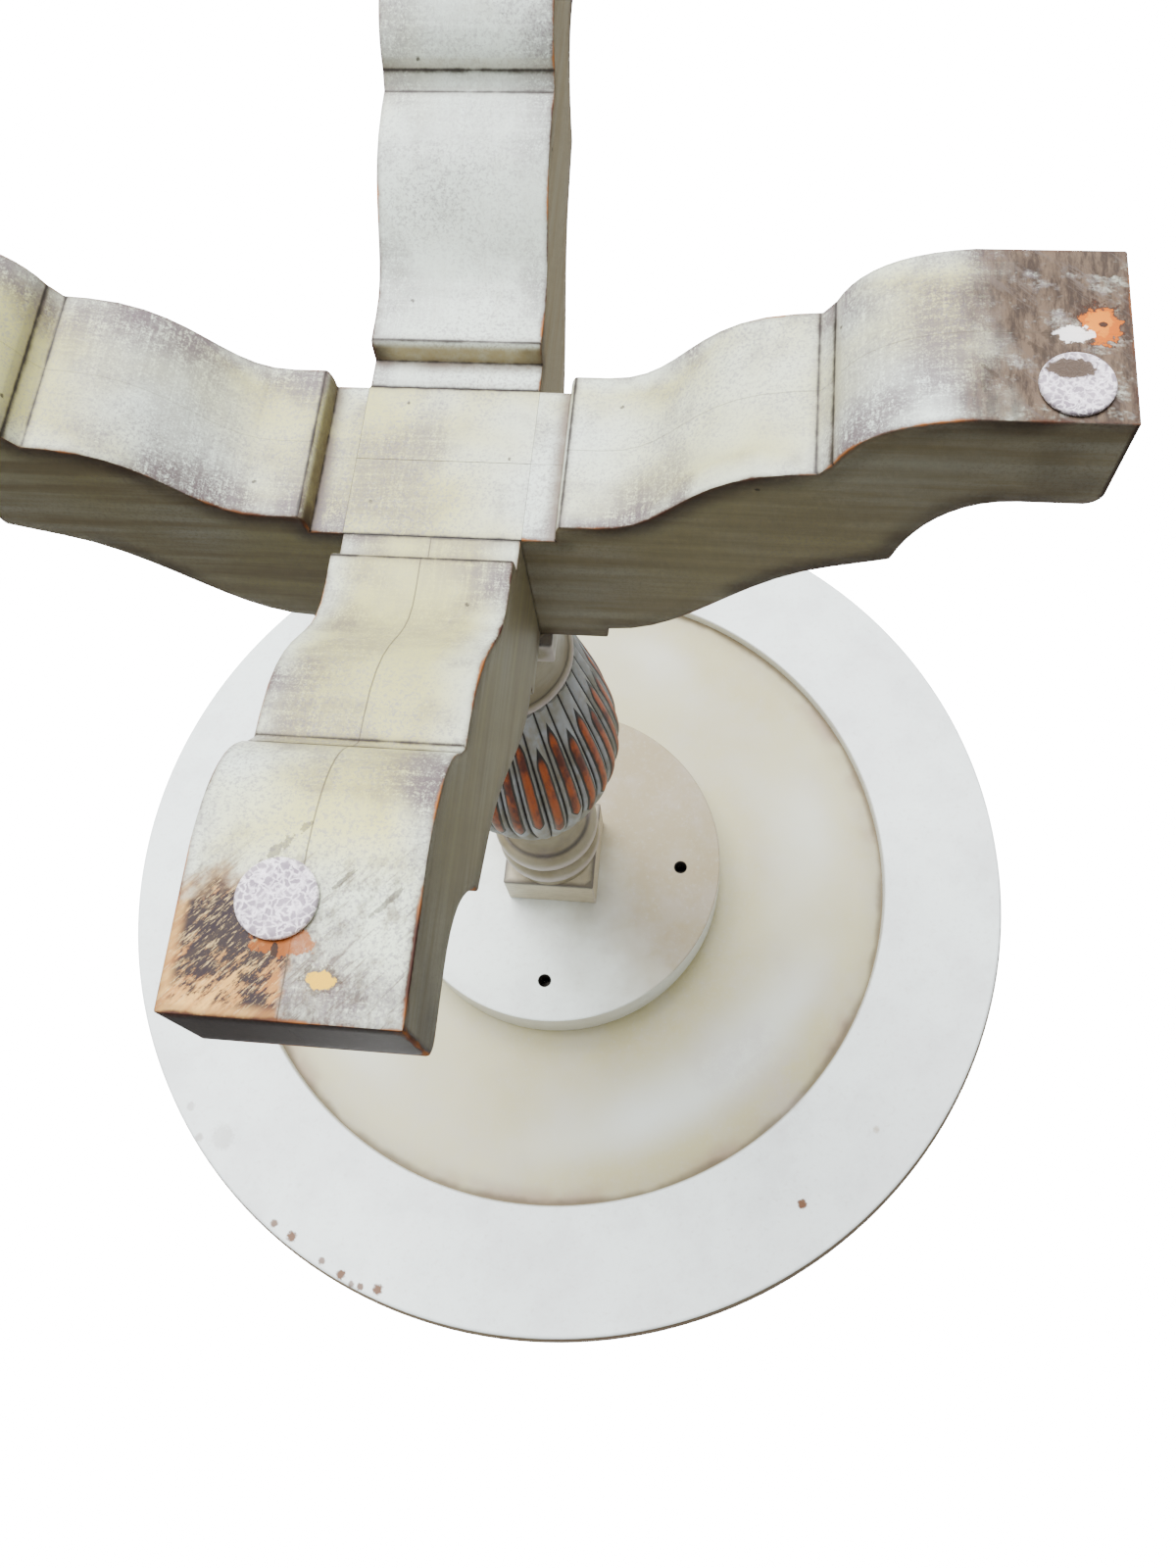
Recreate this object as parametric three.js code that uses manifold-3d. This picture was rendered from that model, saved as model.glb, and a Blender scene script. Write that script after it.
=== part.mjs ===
// Round pedestal side table: a thick round top on a turned and gadrooned column with four
// ogee-shaped legs. Millimetres, +Z up, origin on the floor under the middle of the column.
import * as THREE from 'three';
import { mergeVertices } from 'three/addons/utils/BufferGeometryUtils.js';
import Module from 'manifold-3d';

const wasm = await Module();
wasm.setup();

// ---------- driving dimensions ----------
const GLUE_GAP = 0.3;             // space left between pieces that touch
const FIT_GAP = 0.3;              // space between a dowel or screw and its hole, on the radius

const PAD_RADIUS = 14.5;          // felt pads
const PAD_THICKNESS = 2.7;

const LEG_WIDTH = 84;             // two boards glued side by side
const LEG_REACH = 288;            // from the column axis to the end of a foot
const FOOT_HEIGHT = 53;           // thickness of the flat end of a foot
const FOOT_SOLE = 59;             // length of the flat that stands on the floor
const FOOT_CORNER = 8;            // rounding of the foot's upper outer corner
const FOOT_ARRIS = 2;             // small bevels on the sole's end and on the shoulder lip
const SHOULDER_LENGTH = 35.5;     // flat lip on top of a leg beside the hub
const SHOULDER_STEP = 9;          // drop from that lip to the ogee
const HUB_UNDER_HEIGHT = 96.6;    // underside of the hub above the soles
const HUB_HEIGHT = 90.7;          // depth of the hub block
const HUB_STEP = 12;              // the legs hang this much lower than the hub's underside
const HUB_STEP_REACH = 19;        // where that step lies, outside the hub block
const HUB_STEP_ROUND = 3;         // width of the hollow in that step's corner
const COVE_TOP_HEIGHT = 100.8;    // top of the foot cove above the soles
const COVE_REACH = 45;            // length of the foot cove
const COVE_START = 78;            // distance from the end of the foot to the foot cove
const BEAD_HEIGHT = 38;           // height of the small step under the leg above the soles
const BEAD_REACH = 116;           // distance from the end of the foot to that step
const BEAD_DROP = 7;              // drop of the step
const BEAD_SLOPE = 5;             // length of the step's slanting face

// handles of a leg's long curves, as shares of each curve's own length and rise
const UNDER_FLAT = 0.14;          // straight start under the hub
const UNDER_BEND = 0.46;          // both handles of the curve down to the small step
const UNDER_END = 0.9;            // where that curve meets the lip of the step
const UNDER_LIP_RISE = 6;         // how far its lower handle lies above the lip
const SOLE_BEND = [0.2, 0.5];     // handles of the curve that runs out into the sole
const SOLE_BEND_RISE = [13, 2.5];
const COVE_BEND = [0.12, 0.4];    // handles of the foot cove
const COVE_LIP = 4;               // height of the sharp lip over the foot cove
const OGEE_BEND = [0.47, 0.32];   // handles of the ogee on top of the leg
const OGEE_START = [0.19, 0.11];  // where the ogee leaves the lip: share back, share up
const OGEE_LOW_RISE = 0.29;       // height of its lower handle

const PLINTH_SIDE = 96.5;
const PLINTH_THICKNESS = 19.5;

const COLLAR_HEIGHT = 88.5;       // smooth cove between plinth and urn, with its bead
const COLLAR_FOOT_RADIUS = 44;
const COLLAR_WAIST_RADIUS = 40.5;
const BEAD_RING_RADIUS = 47;
const BEAD_RING_HEIGHT = 8;
const BEAD_RING_BULGE = 4;
const COLLAR_BEND = [[1, 0.3], [2, 0.8]];  // handles: inwards from the waist, share of height

const URN_HEIGHT = 261;
const URN_RADIUS = 69.3;          // over the lobe crests, at the fattest place
const URN_BASE_RADIUS = 47.5;
const URN_NECK_RADIUS = 29;
const URN_BELLY_AT = 0.467;       // height of the fattest place, as a share of the urn
const URN_LOWER_BEND = [[0.34, 0.137], [1, 0.329]];  // handles: share of swell, of height
const URN_UPPER_BEND = [[1, 0.6], [0.45, 0.81]];
const LOBE_COUNT = 30;
const LOBE_DEPTH = 4.2;           // crest to groove, at the fattest place
const LOBE_STEPS = 4;             // faces across one lobe
const LOBE_TURN = 8;              // degrees from the X axis to the nearest groove
const LOBE_SQUARENESS = 0.7;      // under 1 gives flat crests and narrow grooves
const LOBE_FADE = 1.5;            // how soon the grooves grow shallow towards the ends

const NECK_RADIUS = 28;
const NECK_HEIGHT = 91;           // turned neck with its two rings
const NECK_BEND = [0.5, 0.8];     // heights of the handles of the cove under the rings
const NECK_FLARE = 3;             // how far the upper handle lies outside the neck
const RING_RADIUS = 43;           // over the two rings
const RING_THICKNESS = 26;
const RING_GROOVE = 7;            // depth of the groove between the rings
const RING_SPACE = 5;             // width of its floor
const RING_STEPS = 6;             // faces round one bead
const NECK_TOP = 11.5;            // length of the flare between the upper ring and the cap

const CAP_SIDE = 78;
const CAP_HEIGHT = 46;

const PLATE_RADIUS = 147.3;
const PLATE_THICKNESS = 44;
const PLATE_ARRIS = 2.5;          // bevel round the plate's lower edge
const TOP_RADIUS = 404;
const PANEL_THICKNESS = 20.3;
const TOP_EDGE_ROUND = 4;         // rounding of the panel's edges
const RIM_THICKNESS = 10;
const RIM_WIDTH = 104;
const RIM_SETBACK = 3;            // the panel's edge overhangs the rim by this much
const RIM_SEGMENTS = 8;

const LEG_DOWEL_RADIUS = 6;
const LEG_DOWEL_WALL = 1;         // wood left between a leg dowel and the column dowel
const COLUMN_DOWEL_RADIUS = 12;
const DOWEL_ROWS = [0.3, 0.7];    // heights of the two dowel rows, as shares of the hub
const DOWEL_IN_HUB = 50;          // how deep the lower column dowel stands in the hub
const DOWEL_IN_URN = 32;          // how deep each column dowel goes into the urn
const DOWEL_IN_CAP = 30;          // how deep the upper column dowel goes into the cap block

const SCREW_RADIUS = 2.5;
const SCREW_HEAD_RADIUS = 4.6;
const SCREW_HEAD_HEIGHT = 3.2;
const SCREW_HEAD_RIM = 0.6;       // height of the upright edge of a screw head
const SCREW_TIP = 6;
const SCREW_CIRCLE = 0.76;        // circle of the four top screws, as a share of the plate
const SCREW_BITE = 14;            // how far those screws go into the top panel
const COUNTERBORE_RADIUS = 5.5;
const COUNTERBORE_DEPTH = 24;
const CAP_SCREW_OFFSET = 0.35;    // place of the four cap screws, as a share of the cap
const CAP_SCREW_BITE = 32;

const SEGMENTS = 40;              // facets round the turned pieces
const CURVE_SEGMENTS = 7;         // facets along each curve of a leg
const TOP_SEGMENTS = 72;          // facets round the table top, a multiple of RIM_SEGMENTS
const SMALL_SEGMENTS = 12;        // facets round dowels, screws and their holes
const CUT_PAST = 1;               // how far a cutter sticks out of the face it cuts

// ---------- heights that follow from the sizes above ----------
const soleZ = PAD_THICKNESS + GLUE_GAP;
const hubUnderZ = soleZ + HUB_UNDER_HEIGHT;
const hubTopZ = hubUnderZ + HUB_HEIGHT;
const plinthZ = hubTopZ + GLUE_GAP;
const collarZ = plinthZ + PLINTH_THICKNESS + GLUE_GAP;
const urnZ = collarZ + COLLAR_HEIGHT + GLUE_GAP;
const neckZ = urnZ + URN_HEIGHT + GLUE_GAP;
const capZ = neckZ + NECK_HEIGHT + GLUE_GAP;
const plateZ = capZ + CAP_HEIGHT + GLUE_GAP;
const panelZ = plateZ + PLATE_THICKNESS + GLUE_GAP;
const rimZ = panelZ - GLUE_GAP - RIM_THICKNESS;
const rimOuterRadius = TOP_RADIUS - RIM_SETBACK;
const boardWidth = (LEG_WIDTH - GLUE_GAP) / 2;
const hubHalf = LEG_WIDTH / 2;
const legDowelLength = 2 * (hubHalf - COLUMN_DOWEL_RADIUS - LEG_DOWEL_WALL);
const screwCircleRadius = SCREW_CIRCLE * PLATE_RADIUS;

// ---------- finishes ----------
const table = new THREE.Group();
const finishes = {
  legPaint: { color: 0xc9c8bb, roughness: 0.62, metalness: 0 },
  columnPaint: { color: 0xa9a79a, roughness: 0.6, metalness: 0 },
  topPaint: { color: 0xd9dcd6, roughness: 0.55, metalness: 0 },
  bareWood: { color: 0xb08050, roughness: 0.75, metalness: 0 },
  felt: { color: 0xcfc9d2, roughness: 0.95, metalness: 0 },
  zincSteel: { color: 0xa8a39a, roughness: 0.4, metalness: 0.9 },
};

// ---------- solids ----------
function signedVolume(geometry) {
  const place = geometry.attributes.position;
  const index = geometry.index.array;
  const a = new THREE.Vector3();
  const b = new THREE.Vector3();
  const c = new THREE.Vector3();
  let volume = 0;
  for (let i = 0; i < index.length; i += 3) {
    a.fromBufferAttribute(place, index[i]);
    b.fromBufferAttribute(place, index[i + 1]);
    c.fromBufferAttribute(place, index[i + 2]);
    volume += a.dot(b.cross(c)) / 6;
  }
  return volume;
}

// turns a closed geometry into a solid that can be joined and cut
function solid(geometry) {
  geometry.deleteAttribute('normal');
  geometry.deleteAttribute('uv');
  const merged = mergeVertices(geometry, 1e-4);
  const triVerts = new Uint32Array(merged.index.array);
  if (signedVolume(merged) < 0) {
    for (let i = 0; i < triVerts.length; i += 3) {
      [triVerts[i], triVerts[i + 1]] = [triVerts[i + 1], triVerts[i]];
    }
  }
  const vertProperties = new Float32Array(merged.attributes.position.array);
  return new wasm.Manifold(new wasm.Mesh({ numProp: 3, vertProperties, triVerts }));
}

function toGeometry(body) {
  const mesh = body.getMesh();
  const geometry = new THREE.BufferGeometry();
  geometry.setAttribute('position', new THREE.BufferAttribute(mesh.vertProperties, 3));
  geometry.setIndex(new THREE.BufferAttribute(mesh.triVerts, 1));
  geometry.computeVertexNormals();
  return geometry;
}

function cutAll(body, cutters) {
  return cutters.reduce((rest, cutter) => rest.subtract(cutter), body);
}

function addPiece(name, body, finish) {
  const mesh = new THREE.Mesh(toGeometry(body), new THREE.MeshStandardMaterial(finishes[finish]));
  mesh.name = name;
  table.add(mesh);
  return mesh;
}

// turns a profile of [radius, height] points round the Z axis, standing on height z
function turned(profile, z, segments = SEGMENTS) {
  const points = profile.map(([radius, height]) => new THREE.Vector2(radius, height));
  const geometry = new THREE.LatheGeometry(points, segments);
  geometry.rotateX(Math.PI / 2);
  geometry.translate(0, 0, z);
  return geometry;
}

// an upright cylinder with its lower face at z
function post(radius, height, x, y, z, segments = SMALL_SEGMENTS) {
  const geometry = new THREE.CylinderGeometry(radius, radius, height, segments);
  geometry.rotateX(Math.PI / 2);
  geometry.translate(x, y, z + height / 2);
  return solid(geometry);
}

function block(width, depth, height, x, y, z) {
  const geometry = new THREE.BoxGeometry(width, depth, height);
  geometry.translate(x, y, z + height / 2);
  return solid(geometry);
}

// ---------- legs ----------
// outline of a leg seen from the side: x runs outwards from the column axis, y is the height
function legOutline() {
  const inner = hubHalf + GLUE_GAP;
  const stepX = hubHalf + HUB_STEP_REACH;
  const underZ = hubUnderZ - HUB_STEP;
  const beadX = LEG_REACH - BEAD_REACH;
  const beadZ = soleZ + BEAD_HEIGHT;
  const soleX = LEG_REACH - FOOT_SOLE;
  const footTop = soleZ + FOOT_HEIGHT;
  const coveX = LEG_REACH - COVE_START;
  const coveZ = soleZ + COVE_TOP_HEIGHT;
  const coveEndX = coveX + COVE_REACH;
  const shoulderX = hubHalf + SHOULDER_LENGTH;
  const ogeeZ = hubTopZ - SHOULDER_STEP;
  const underRun = beadX - stepX;
  const upperRun = coveX - shoulderX;
  const upperDrop = ogeeZ - coveZ;
  const soleRun = soleX - beadX;
  const outline = new THREE.Shape();
  outline.moveTo(inner, hubUnderZ);
  outline.lineTo(stepX - HUB_STEP_ROUND, hubUnderZ);
  outline.quadraticCurveTo(stepX - HUB_STEP_ROUND, underZ, stepX, underZ);
  outline.lineTo(stepX + UNDER_FLAT * underRun, underZ);
  outline.bezierCurveTo(stepX + UNDER_BEND * underRun, underZ, stepX + UNDER_BEND * underRun,
    beadZ + UNDER_LIP_RISE, stepX + UNDER_END * underRun, beadZ + FOOT_ARRIS / 2);
  outline.lineTo(beadX, beadZ);
  outline.lineTo(beadX + BEAD_SLOPE, beadZ - BEAD_DROP);
  outline.bezierCurveTo(beadX + SOLE_BEND[0] * soleRun, soleZ + SOLE_BEND_RISE[0],
    beadX + SOLE_BEND[1] * soleRun, soleZ + SOLE_BEND_RISE[1], soleX, soleZ);
  outline.lineTo(LEG_REACH - FOOT_ARRIS, soleZ);
  outline.lineTo(LEG_REACH, soleZ + FOOT_ARRIS);
  outline.lineTo(LEG_REACH, footTop - FOOT_CORNER);
  outline.quadraticCurveTo(LEG_REACH, footTop, LEG_REACH - FOOT_CORNER, footTop);
  outline.lineTo(coveEndX, footTop);
  outline.bezierCurveTo(coveX + COVE_BEND[1] * COVE_REACH, footTop, coveX
    + COVE_BEND[0] * COVE_REACH, (footTop + coveZ) / 2, coveX + FOOT_ARRIS / 2, coveZ - COVE_LIP);
  outline.lineTo(coveX, coveZ);
  outline.lineTo(coveX - OGEE_START[0] * upperRun, coveZ + OGEE_START[1] * upperDrop);
  outline.bezierCurveTo(shoulderX + OGEE_BEND[0] * upperRun, coveZ + OGEE_LOW_RISE * upperDrop,
    shoulderX + OGEE_BEND[1] * upperRun, ogeeZ, shoulderX + FOOT_ARRIS / 2, ogeeZ);
  outline.lineTo(shoulderX, hubTopZ - FOOT_ARRIS);
  outline.lineTo(shoulderX - FOOT_ARRIS, hubTopZ);
  outline.lineTo(inner, hubTopZ);
  outline.closePath();
  return outline;
}

// heights of the two dowel rows: crossing legs use different rows, so that they don't meet
const dowelRowZ = DOWEL_ROWS.map((share) => hubUnderZ + share * HUB_HEIGHT);

// a dowel along +X through the joint between hub and leg, in the board at side y
function legDowel(radius, length, y, z) {
  const geometry = new THREE.CylinderGeometry(radius, radius, length, SMALL_SEGMENTS);
  geometry.rotateZ(Math.PI / 2);
  geometry.translate(hubHalf + GLUE_GAP / 2, y, z);
  return solid(geometry);
}

function legBoard(side, rowZ) {
  const geometry = new THREE.ExtrudeGeometry(legOutline(), {
    depth: boardWidth, bevelEnabled: false, curveSegments: CURVE_SEGMENTS, steps: 1,
  });
  geometry.rotateX(Math.PI / 2);
  geometry.translate(0, side > 0 ? LEG_WIDTH / 2 : -GLUE_GAP / 2, 0);
  const hole = legDowel(LEG_DOWEL_RADIUS + FIT_GAP, legDowelLength + 2 * FIT_GAP,
    side * LEG_WIDTH / 4, rowZ);
  return solid(geometry).subtract(hole);
}

// each pad's place: distance from the end of the foot, and sideways as a share of the width
const legs = [
  { name: 'right', turn: 0, row: 1, padIn: 36, padAcross: 0.1 },
  { name: 'back', turn: 90, row: 0, padIn: 38, padAcross: 0.07 },
  { name: 'left', turn: 180, row: 1, padIn: 23, padAcross: 0.3 },
  { name: 'front', turn: 270, row: 0, padIn: 41, padAcross: 0.083 },
];

for (const leg of legs) {
  for (const [side, sideName] of [[1, 'a'], [-1, 'b']]) {
    const board = legBoard(side, dowelRowZ[leg.row]).rotate([0, 0, leg.turn]);
    addPiece(`leg_${leg.name}_board_${sideName}`, board, 'legPaint');
    const dowel = legDowel(LEG_DOWEL_RADIUS, legDowelLength, side * LEG_WIDTH / 4,
      dowelRowZ[leg.row]).rotate([0, 0, leg.turn]);
    addPiece(`leg_${leg.name}_dowel_${sideName}`, dowel, 'bareWood');
  }
  const pad = post(PAD_RADIUS, PAD_THICKNESS, LEG_REACH - leg.padIn, leg.padAcross * LEG_WIDTH,
    0, 2 * SMALL_SEGMENTS);
  addPiece(`felt_pad_${leg.name}`, pad.rotate([0, 0, leg.turn]), 'felt');
}

// ---------- hub ----------
function hubBoard(side) {
  const y = side * (GLUE_GAP / 2 + boardWidth / 2);
  const holes = [];
  for (const leg of legs) {
    for (const dowelSide of [1, -1]) {
      const hole = legDowel(LEG_DOWEL_RADIUS + FIT_GAP, legDowelLength + 2 * FIT_GAP,
        dowelSide * LEG_WIDTH / 4, dowelRowZ[leg.row]);
      holes.push(hole.rotate([0, 0, leg.turn]));
    }
  }
  holes.push(post(COLUMN_DOWEL_RADIUS + FIT_GAP, DOWEL_IN_HUB + CUT_PAST, 0, 0,
    hubTopZ - DOWEL_IN_HUB, 2 * SMALL_SEGMENTS));
  return cutAll(block(LEG_WIDTH, boardWidth, HUB_HEIGHT, 0, y, hubUnderZ), holes);
}
addPiece('hub_board_back', hubBoard(1), 'legPaint');
addPiece('hub_board_front', hubBoard(-1), 'legPaint');

// ---------- column ----------
// a straight hole on the axis, open past both heights
function axialHole(fromZ, toZ) {
  return post(COLUMN_DOWEL_RADIUS + FIT_GAP, toZ - fromZ, 0, 0, fromZ, 2 * SMALL_SEGMENTS);
}

const lowerDowelZ = hubTopZ - DOWEL_IN_HUB + FIT_GAP;
const lowerDowelTopZ = urnZ + DOWEL_IN_URN;
const upperDowelZ = neckZ - DOWEL_IN_URN;
const upperDowelTopZ = capZ + DOWEL_IN_CAP;
addPiece('column_dowel_lower', post(COLUMN_DOWEL_RADIUS, lowerDowelTopZ - lowerDowelZ, 0, 0,
  lowerDowelZ, 2 * SMALL_SEGMENTS), 'bareWood');
addPiece('column_dowel_upper', post(COLUMN_DOWEL_RADIUS, upperDowelTopZ - upperDowelZ, 0, 0,
  upperDowelZ, 2 * SMALL_SEGMENTS), 'bareWood');

const plinth = block(PLINTH_SIDE, PLINTH_SIDE, PLINTH_THICKNESS, 0, 0, plinthZ);
addPiece('column_plinth', plinth.subtract(axialHole(plinthZ - CUT_PAST, collarZ)), 'columnPaint');

// half a round bead as profile points, from its lower edge to its upper edge
function bead(radius, bulge, fromHeight, toHeight, steps = 4) {
  const middle = (fromHeight + toHeight) / 2;
  const half = (toHeight - fromHeight) / 2;
  const points = [];
  for (let i = 0; i <= steps; i += 1) {
    const angle = -Math.PI / 2 + Math.PI * i / steps;
    points.push([radius + bulge * Math.cos(angle), middle + half * Math.sin(angle)]);
  }
  return points;
}

function collarProfile() {
  const coveTop = COLLAR_HEIGHT - BEAD_RING_HEIGHT;
  const [low, high] = COLLAR_BEND;
  const cove = new THREE.CubicBezierCurve(
    new THREE.Vector2(COLLAR_FOOT_RADIUS, GLUE_GAP),
    new THREE.Vector2(COLLAR_WAIST_RADIUS - low[0], low[1] * coveTop),
    new THREE.Vector2(COLLAR_WAIST_RADIUS - high[0], high[1] * coveTop),
    new THREE.Vector2(COLLAR_FOOT_RADIUS, coveTop));
  const root = BEAD_RING_RADIUS - BEAD_RING_BULGE;
  const beadPoints = bead(root, BEAD_RING_BULGE, coveTop, COLLAR_HEIGHT);
  return [[0, 0], [COLLAR_FOOT_RADIUS, 0],
    ...cove.getPoints(5).map((p) => [p.x, p.y]),
    ...beadPoints.slice(1, -1), [root, COLLAR_HEIGHT], [0, COLLAR_HEIGHT]];
}
addPiece('column_collar', solid(turned(collarProfile(), collarZ))
  .subtract(axialHole(collarZ - CUT_PAST, urnZ)), 'columnPaint');

// the urn's outline over the lobe crests: a full belly, a rounded shoulder and a narrow neck
function urnOutline() {
  const bellyZ = URN_BELLY_AT * URN_HEIGHT;
  const between = (fromRadius, [swell, height]) => new THREE.Vector2(
    fromRadius + swell * (URN_RADIUS - fromRadius), height * URN_HEIGHT);
  const lower = new THREE.CubicBezierCurve(
    new THREE.Vector2(URN_BASE_RADIUS, 0), between(URN_BASE_RADIUS, URN_LOWER_BEND[0]),
    between(URN_BASE_RADIUS, URN_LOWER_BEND[1]), new THREE.Vector2(URN_RADIUS, bellyZ));
  const upper = new THREE.CubicBezierCurve(
    new THREE.Vector2(URN_RADIUS, bellyZ), between(URN_NECK_RADIUS, URN_UPPER_BEND[0]),
    between(URN_NECK_RADIUS, URN_UPPER_BEND[1]), new THREE.Vector2(URN_NECK_RADIUS, URN_HEIGHT));
  const side = [...lower.getPoints(5), ...upper.getPoints(6).slice(1)];
  return [[0, 0], ...side.map((p) => [p.x, p.y]), [0, URN_HEIGHT]];
}

// sinks the grooves between the lobes into the turned outline
function carveLobes(geometry) {
  const place = geometry.attributes.position;
  for (let i = 0; i < place.count; i += 1) {
    const x = place.getX(i);
    const y = place.getY(i);
    const radius = Math.hypot(x, y);
    if (radius > 1) {
      const acrossLobe = Math.atan2(y, x) * LOBE_COUNT / (2 * Math.PI);
      const crest = Math.abs(Math.sin(Math.PI * acrossLobe)) ** LOBE_SQUARENESS;
      const fullness = (radius / URN_RADIUS) ** LOBE_FADE;
      const scale = 1 - LOBE_DEPTH * fullness * (1 - crest) / radius;
      place.setXY(i, x * scale, y * scale);
    }
  }
  geometry.rotateZ(THREE.MathUtils.degToRad(LOBE_TURN));
  return geometry;
}

const urnBody = solid(carveLobes(turned(urnOutline(), urnZ, LOBE_COUNT * LOBE_STEPS)));
addPiece('column_urn', cutAll(urnBody, [
  axialHole(urnZ - CUT_PAST, lowerDowelTopZ + FIT_GAP),
  axialHole(upperDowelZ - FIT_GAP, neckZ + CUT_PAST),
]), 'columnPaint');

function neckProfile() {
  const upperRingTop = NECK_HEIGHT - NECK_TOP;
  const upperRing = upperRingTop - RING_THICKNESS;
  const lowerRing = upperRing - RING_SPACE - RING_THICKNESS;
  const rootRadius = RING_RADIUS - RING_GROOVE;
  const cove = new THREE.CubicBezierCurve(
    new THREE.Vector2(NECK_RADIUS, 0),
    new THREE.Vector2(NECK_RADIUS, NECK_BEND[0] * lowerRing),
    new THREE.Vector2(NECK_RADIUS + NECK_FLARE, NECK_BEND[1] * lowerRing),
    new THREE.Vector2(rootRadius, lowerRing));
  const ring = (height) => bead(rootRadius, RING_GROOVE, height, height + RING_THICKNESS,
    RING_STEPS);
  return [[0, 0], ...cove.getPoints(5).map((p) => [p.x, p.y]), ...ring(lowerRing).slice(1),
    ...ring(upperRing), [CAP_SIDE / 2 - GLUE_GAP, NECK_HEIGHT], [0, NECK_HEIGHT]];
}
addPiece('column_neck', solid(turned(neckProfile(), neckZ))
  .subtract(axialHole(neckZ - CUT_PAST, capZ)), 'columnPaint');

// ---------- screws ----------
// a countersunk wood screw that points up from z when up is 1, and down from z when it is -1
function screw(x, y, z, length, up) {
  const profile = [[0, 0], [SCREW_HEAD_RADIUS, 0], [SCREW_HEAD_RADIUS, SCREW_HEAD_RIM],
    [SCREW_RADIUS, SCREW_HEAD_HEIGHT], [SCREW_RADIUS, length - SCREW_TIP], [0, length]];
  const geometry = turned(profile, 0, SMALL_SEGMENTS);
  if (up < 0) {
    geometry.rotateX(Math.PI);
  }
  geometry.translate(x, y, z);
  return solid(geometry);
}

const plateScrewZ = plateZ + COUNTERBORE_DEPTH - SCREW_HEAD_HEIGHT - GLUE_GAP;
const plateScrewLength = panelZ + SCREW_BITE - plateScrewZ;
const capScrewZ = plateZ + PLATE_THICKNESS - GLUE_GAP;
const capScrewLength = capScrewZ - (capZ + CAP_HEIGHT - CAP_SCREW_BITE);
const screwPlaces = [0, 90, 180, 270].map((degrees) => THREE.MathUtils.degToRad(degrees));
const plateScrewPlaces = screwPlaces.map((angle) => [
  screwCircleRadius * Math.cos(angle), screwCircleRadius * Math.sin(angle)]);
const capScrewPlaces = [[1, 1], [-1, 1], [-1, -1], [1, -1]].map(([sx, sy]) => [
  sx * CAP_SCREW_OFFSET * CAP_SIDE, sy * CAP_SCREW_OFFSET * CAP_SIDE]);
plateScrewPlaces.forEach(([x, y], i) => {
  addPiece(`top_screw_${i + 1}`, screw(x, y, plateScrewZ, plateScrewLength, 1), 'zincSteel');
});
capScrewPlaces.forEach(([x, y], i) => {
  addPiece(`cap_screw_${i + 1}`, screw(x, y, capScrewZ, capScrewLength, -1), 'zincSteel');
});

const clearRadius = SCREW_RADIUS + FIT_GAP;
const headClearRadius = SCREW_HEAD_RADIUS + FIT_GAP;

// ---------- cap block ----------
const capHoles = capScrewPlaces.map(([x, y]) => post(clearRadius, CAP_SCREW_BITE + CUT_PAST,
  x, y, capZ + CAP_HEIGHT - CAP_SCREW_BITE - FIT_GAP));
const capBody = block(CAP_SIDE, CAP_SIDE, CAP_HEIGHT, 0, 0, capZ);
addPiece('column_cap_block', cutAll(capBody, [
  axialHole(capZ - CUT_PAST, upperDowelTopZ + FIT_GAP), ...capHoles]), 'columnPaint');

// ---------- mounting plate ----------
const plateHoles = [];
const throughPlate = PLATE_THICKNESS + 2 * CUT_PAST;
for (const [x, y] of plateScrewPlaces) {
  plateHoles.push(post(COUNTERBORE_RADIUS, COUNTERBORE_DEPTH + CUT_PAST, x, y,
    plateZ - CUT_PAST));
  plateHoles.push(post(clearRadius, throughPlate, x, y, plateZ - CUT_PAST));
}
for (const [x, y] of capScrewPlaces) {
  plateHoles.push(post(clearRadius, throughPlate, x, y, plateZ - CUT_PAST));
  plateHoles.push(post(headClearRadius, SCREW_HEAD_HEIGHT + FIT_GAP + CUT_PAST, x, y,
    capScrewZ - SCREW_HEAD_HEIGHT - FIT_GAP));
}
const plateProfile = [[0, 0], [PLATE_RADIUS - PLATE_ARRIS, 0], [PLATE_RADIUS, PLATE_ARRIS],
  [PLATE_RADIUS, PLATE_THICKNESS], [0, PLATE_THICKNESS]];
addPiece('mounting_plate', cutAll(solid(turned(plateProfile, plateZ, TOP_SEGMENTS)), plateHoles),
  'topPaint');

// ---------- table top ----------
const roundIn = TOP_EDGE_ROUND * (1 - Math.SQRT1_2);
const panelProfile = [[0, 0], [TOP_RADIUS - TOP_EDGE_ROUND, 0], [TOP_RADIUS - roundIn, roundIn],
  [TOP_RADIUS, TOP_EDGE_ROUND], [TOP_RADIUS, PANEL_THICKNESS - TOP_EDGE_ROUND],
  [TOP_RADIUS - roundIn, PANEL_THICKNESS - roundIn],
  [TOP_RADIUS - TOP_EDGE_ROUND, PANEL_THICKNESS], [0, PANEL_THICKNESS]];
const panelHoles = plateScrewPlaces.map(([x, y]) => post(clearRadius,
  SCREW_BITE + CUT_PAST + FIT_GAP, x, y, panelZ - CUT_PAST));
addPiece('table_top', cutAll(solid(turned(panelProfile, panelZ, TOP_SEGMENTS)), panelHoles),
  'topPaint');

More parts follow.
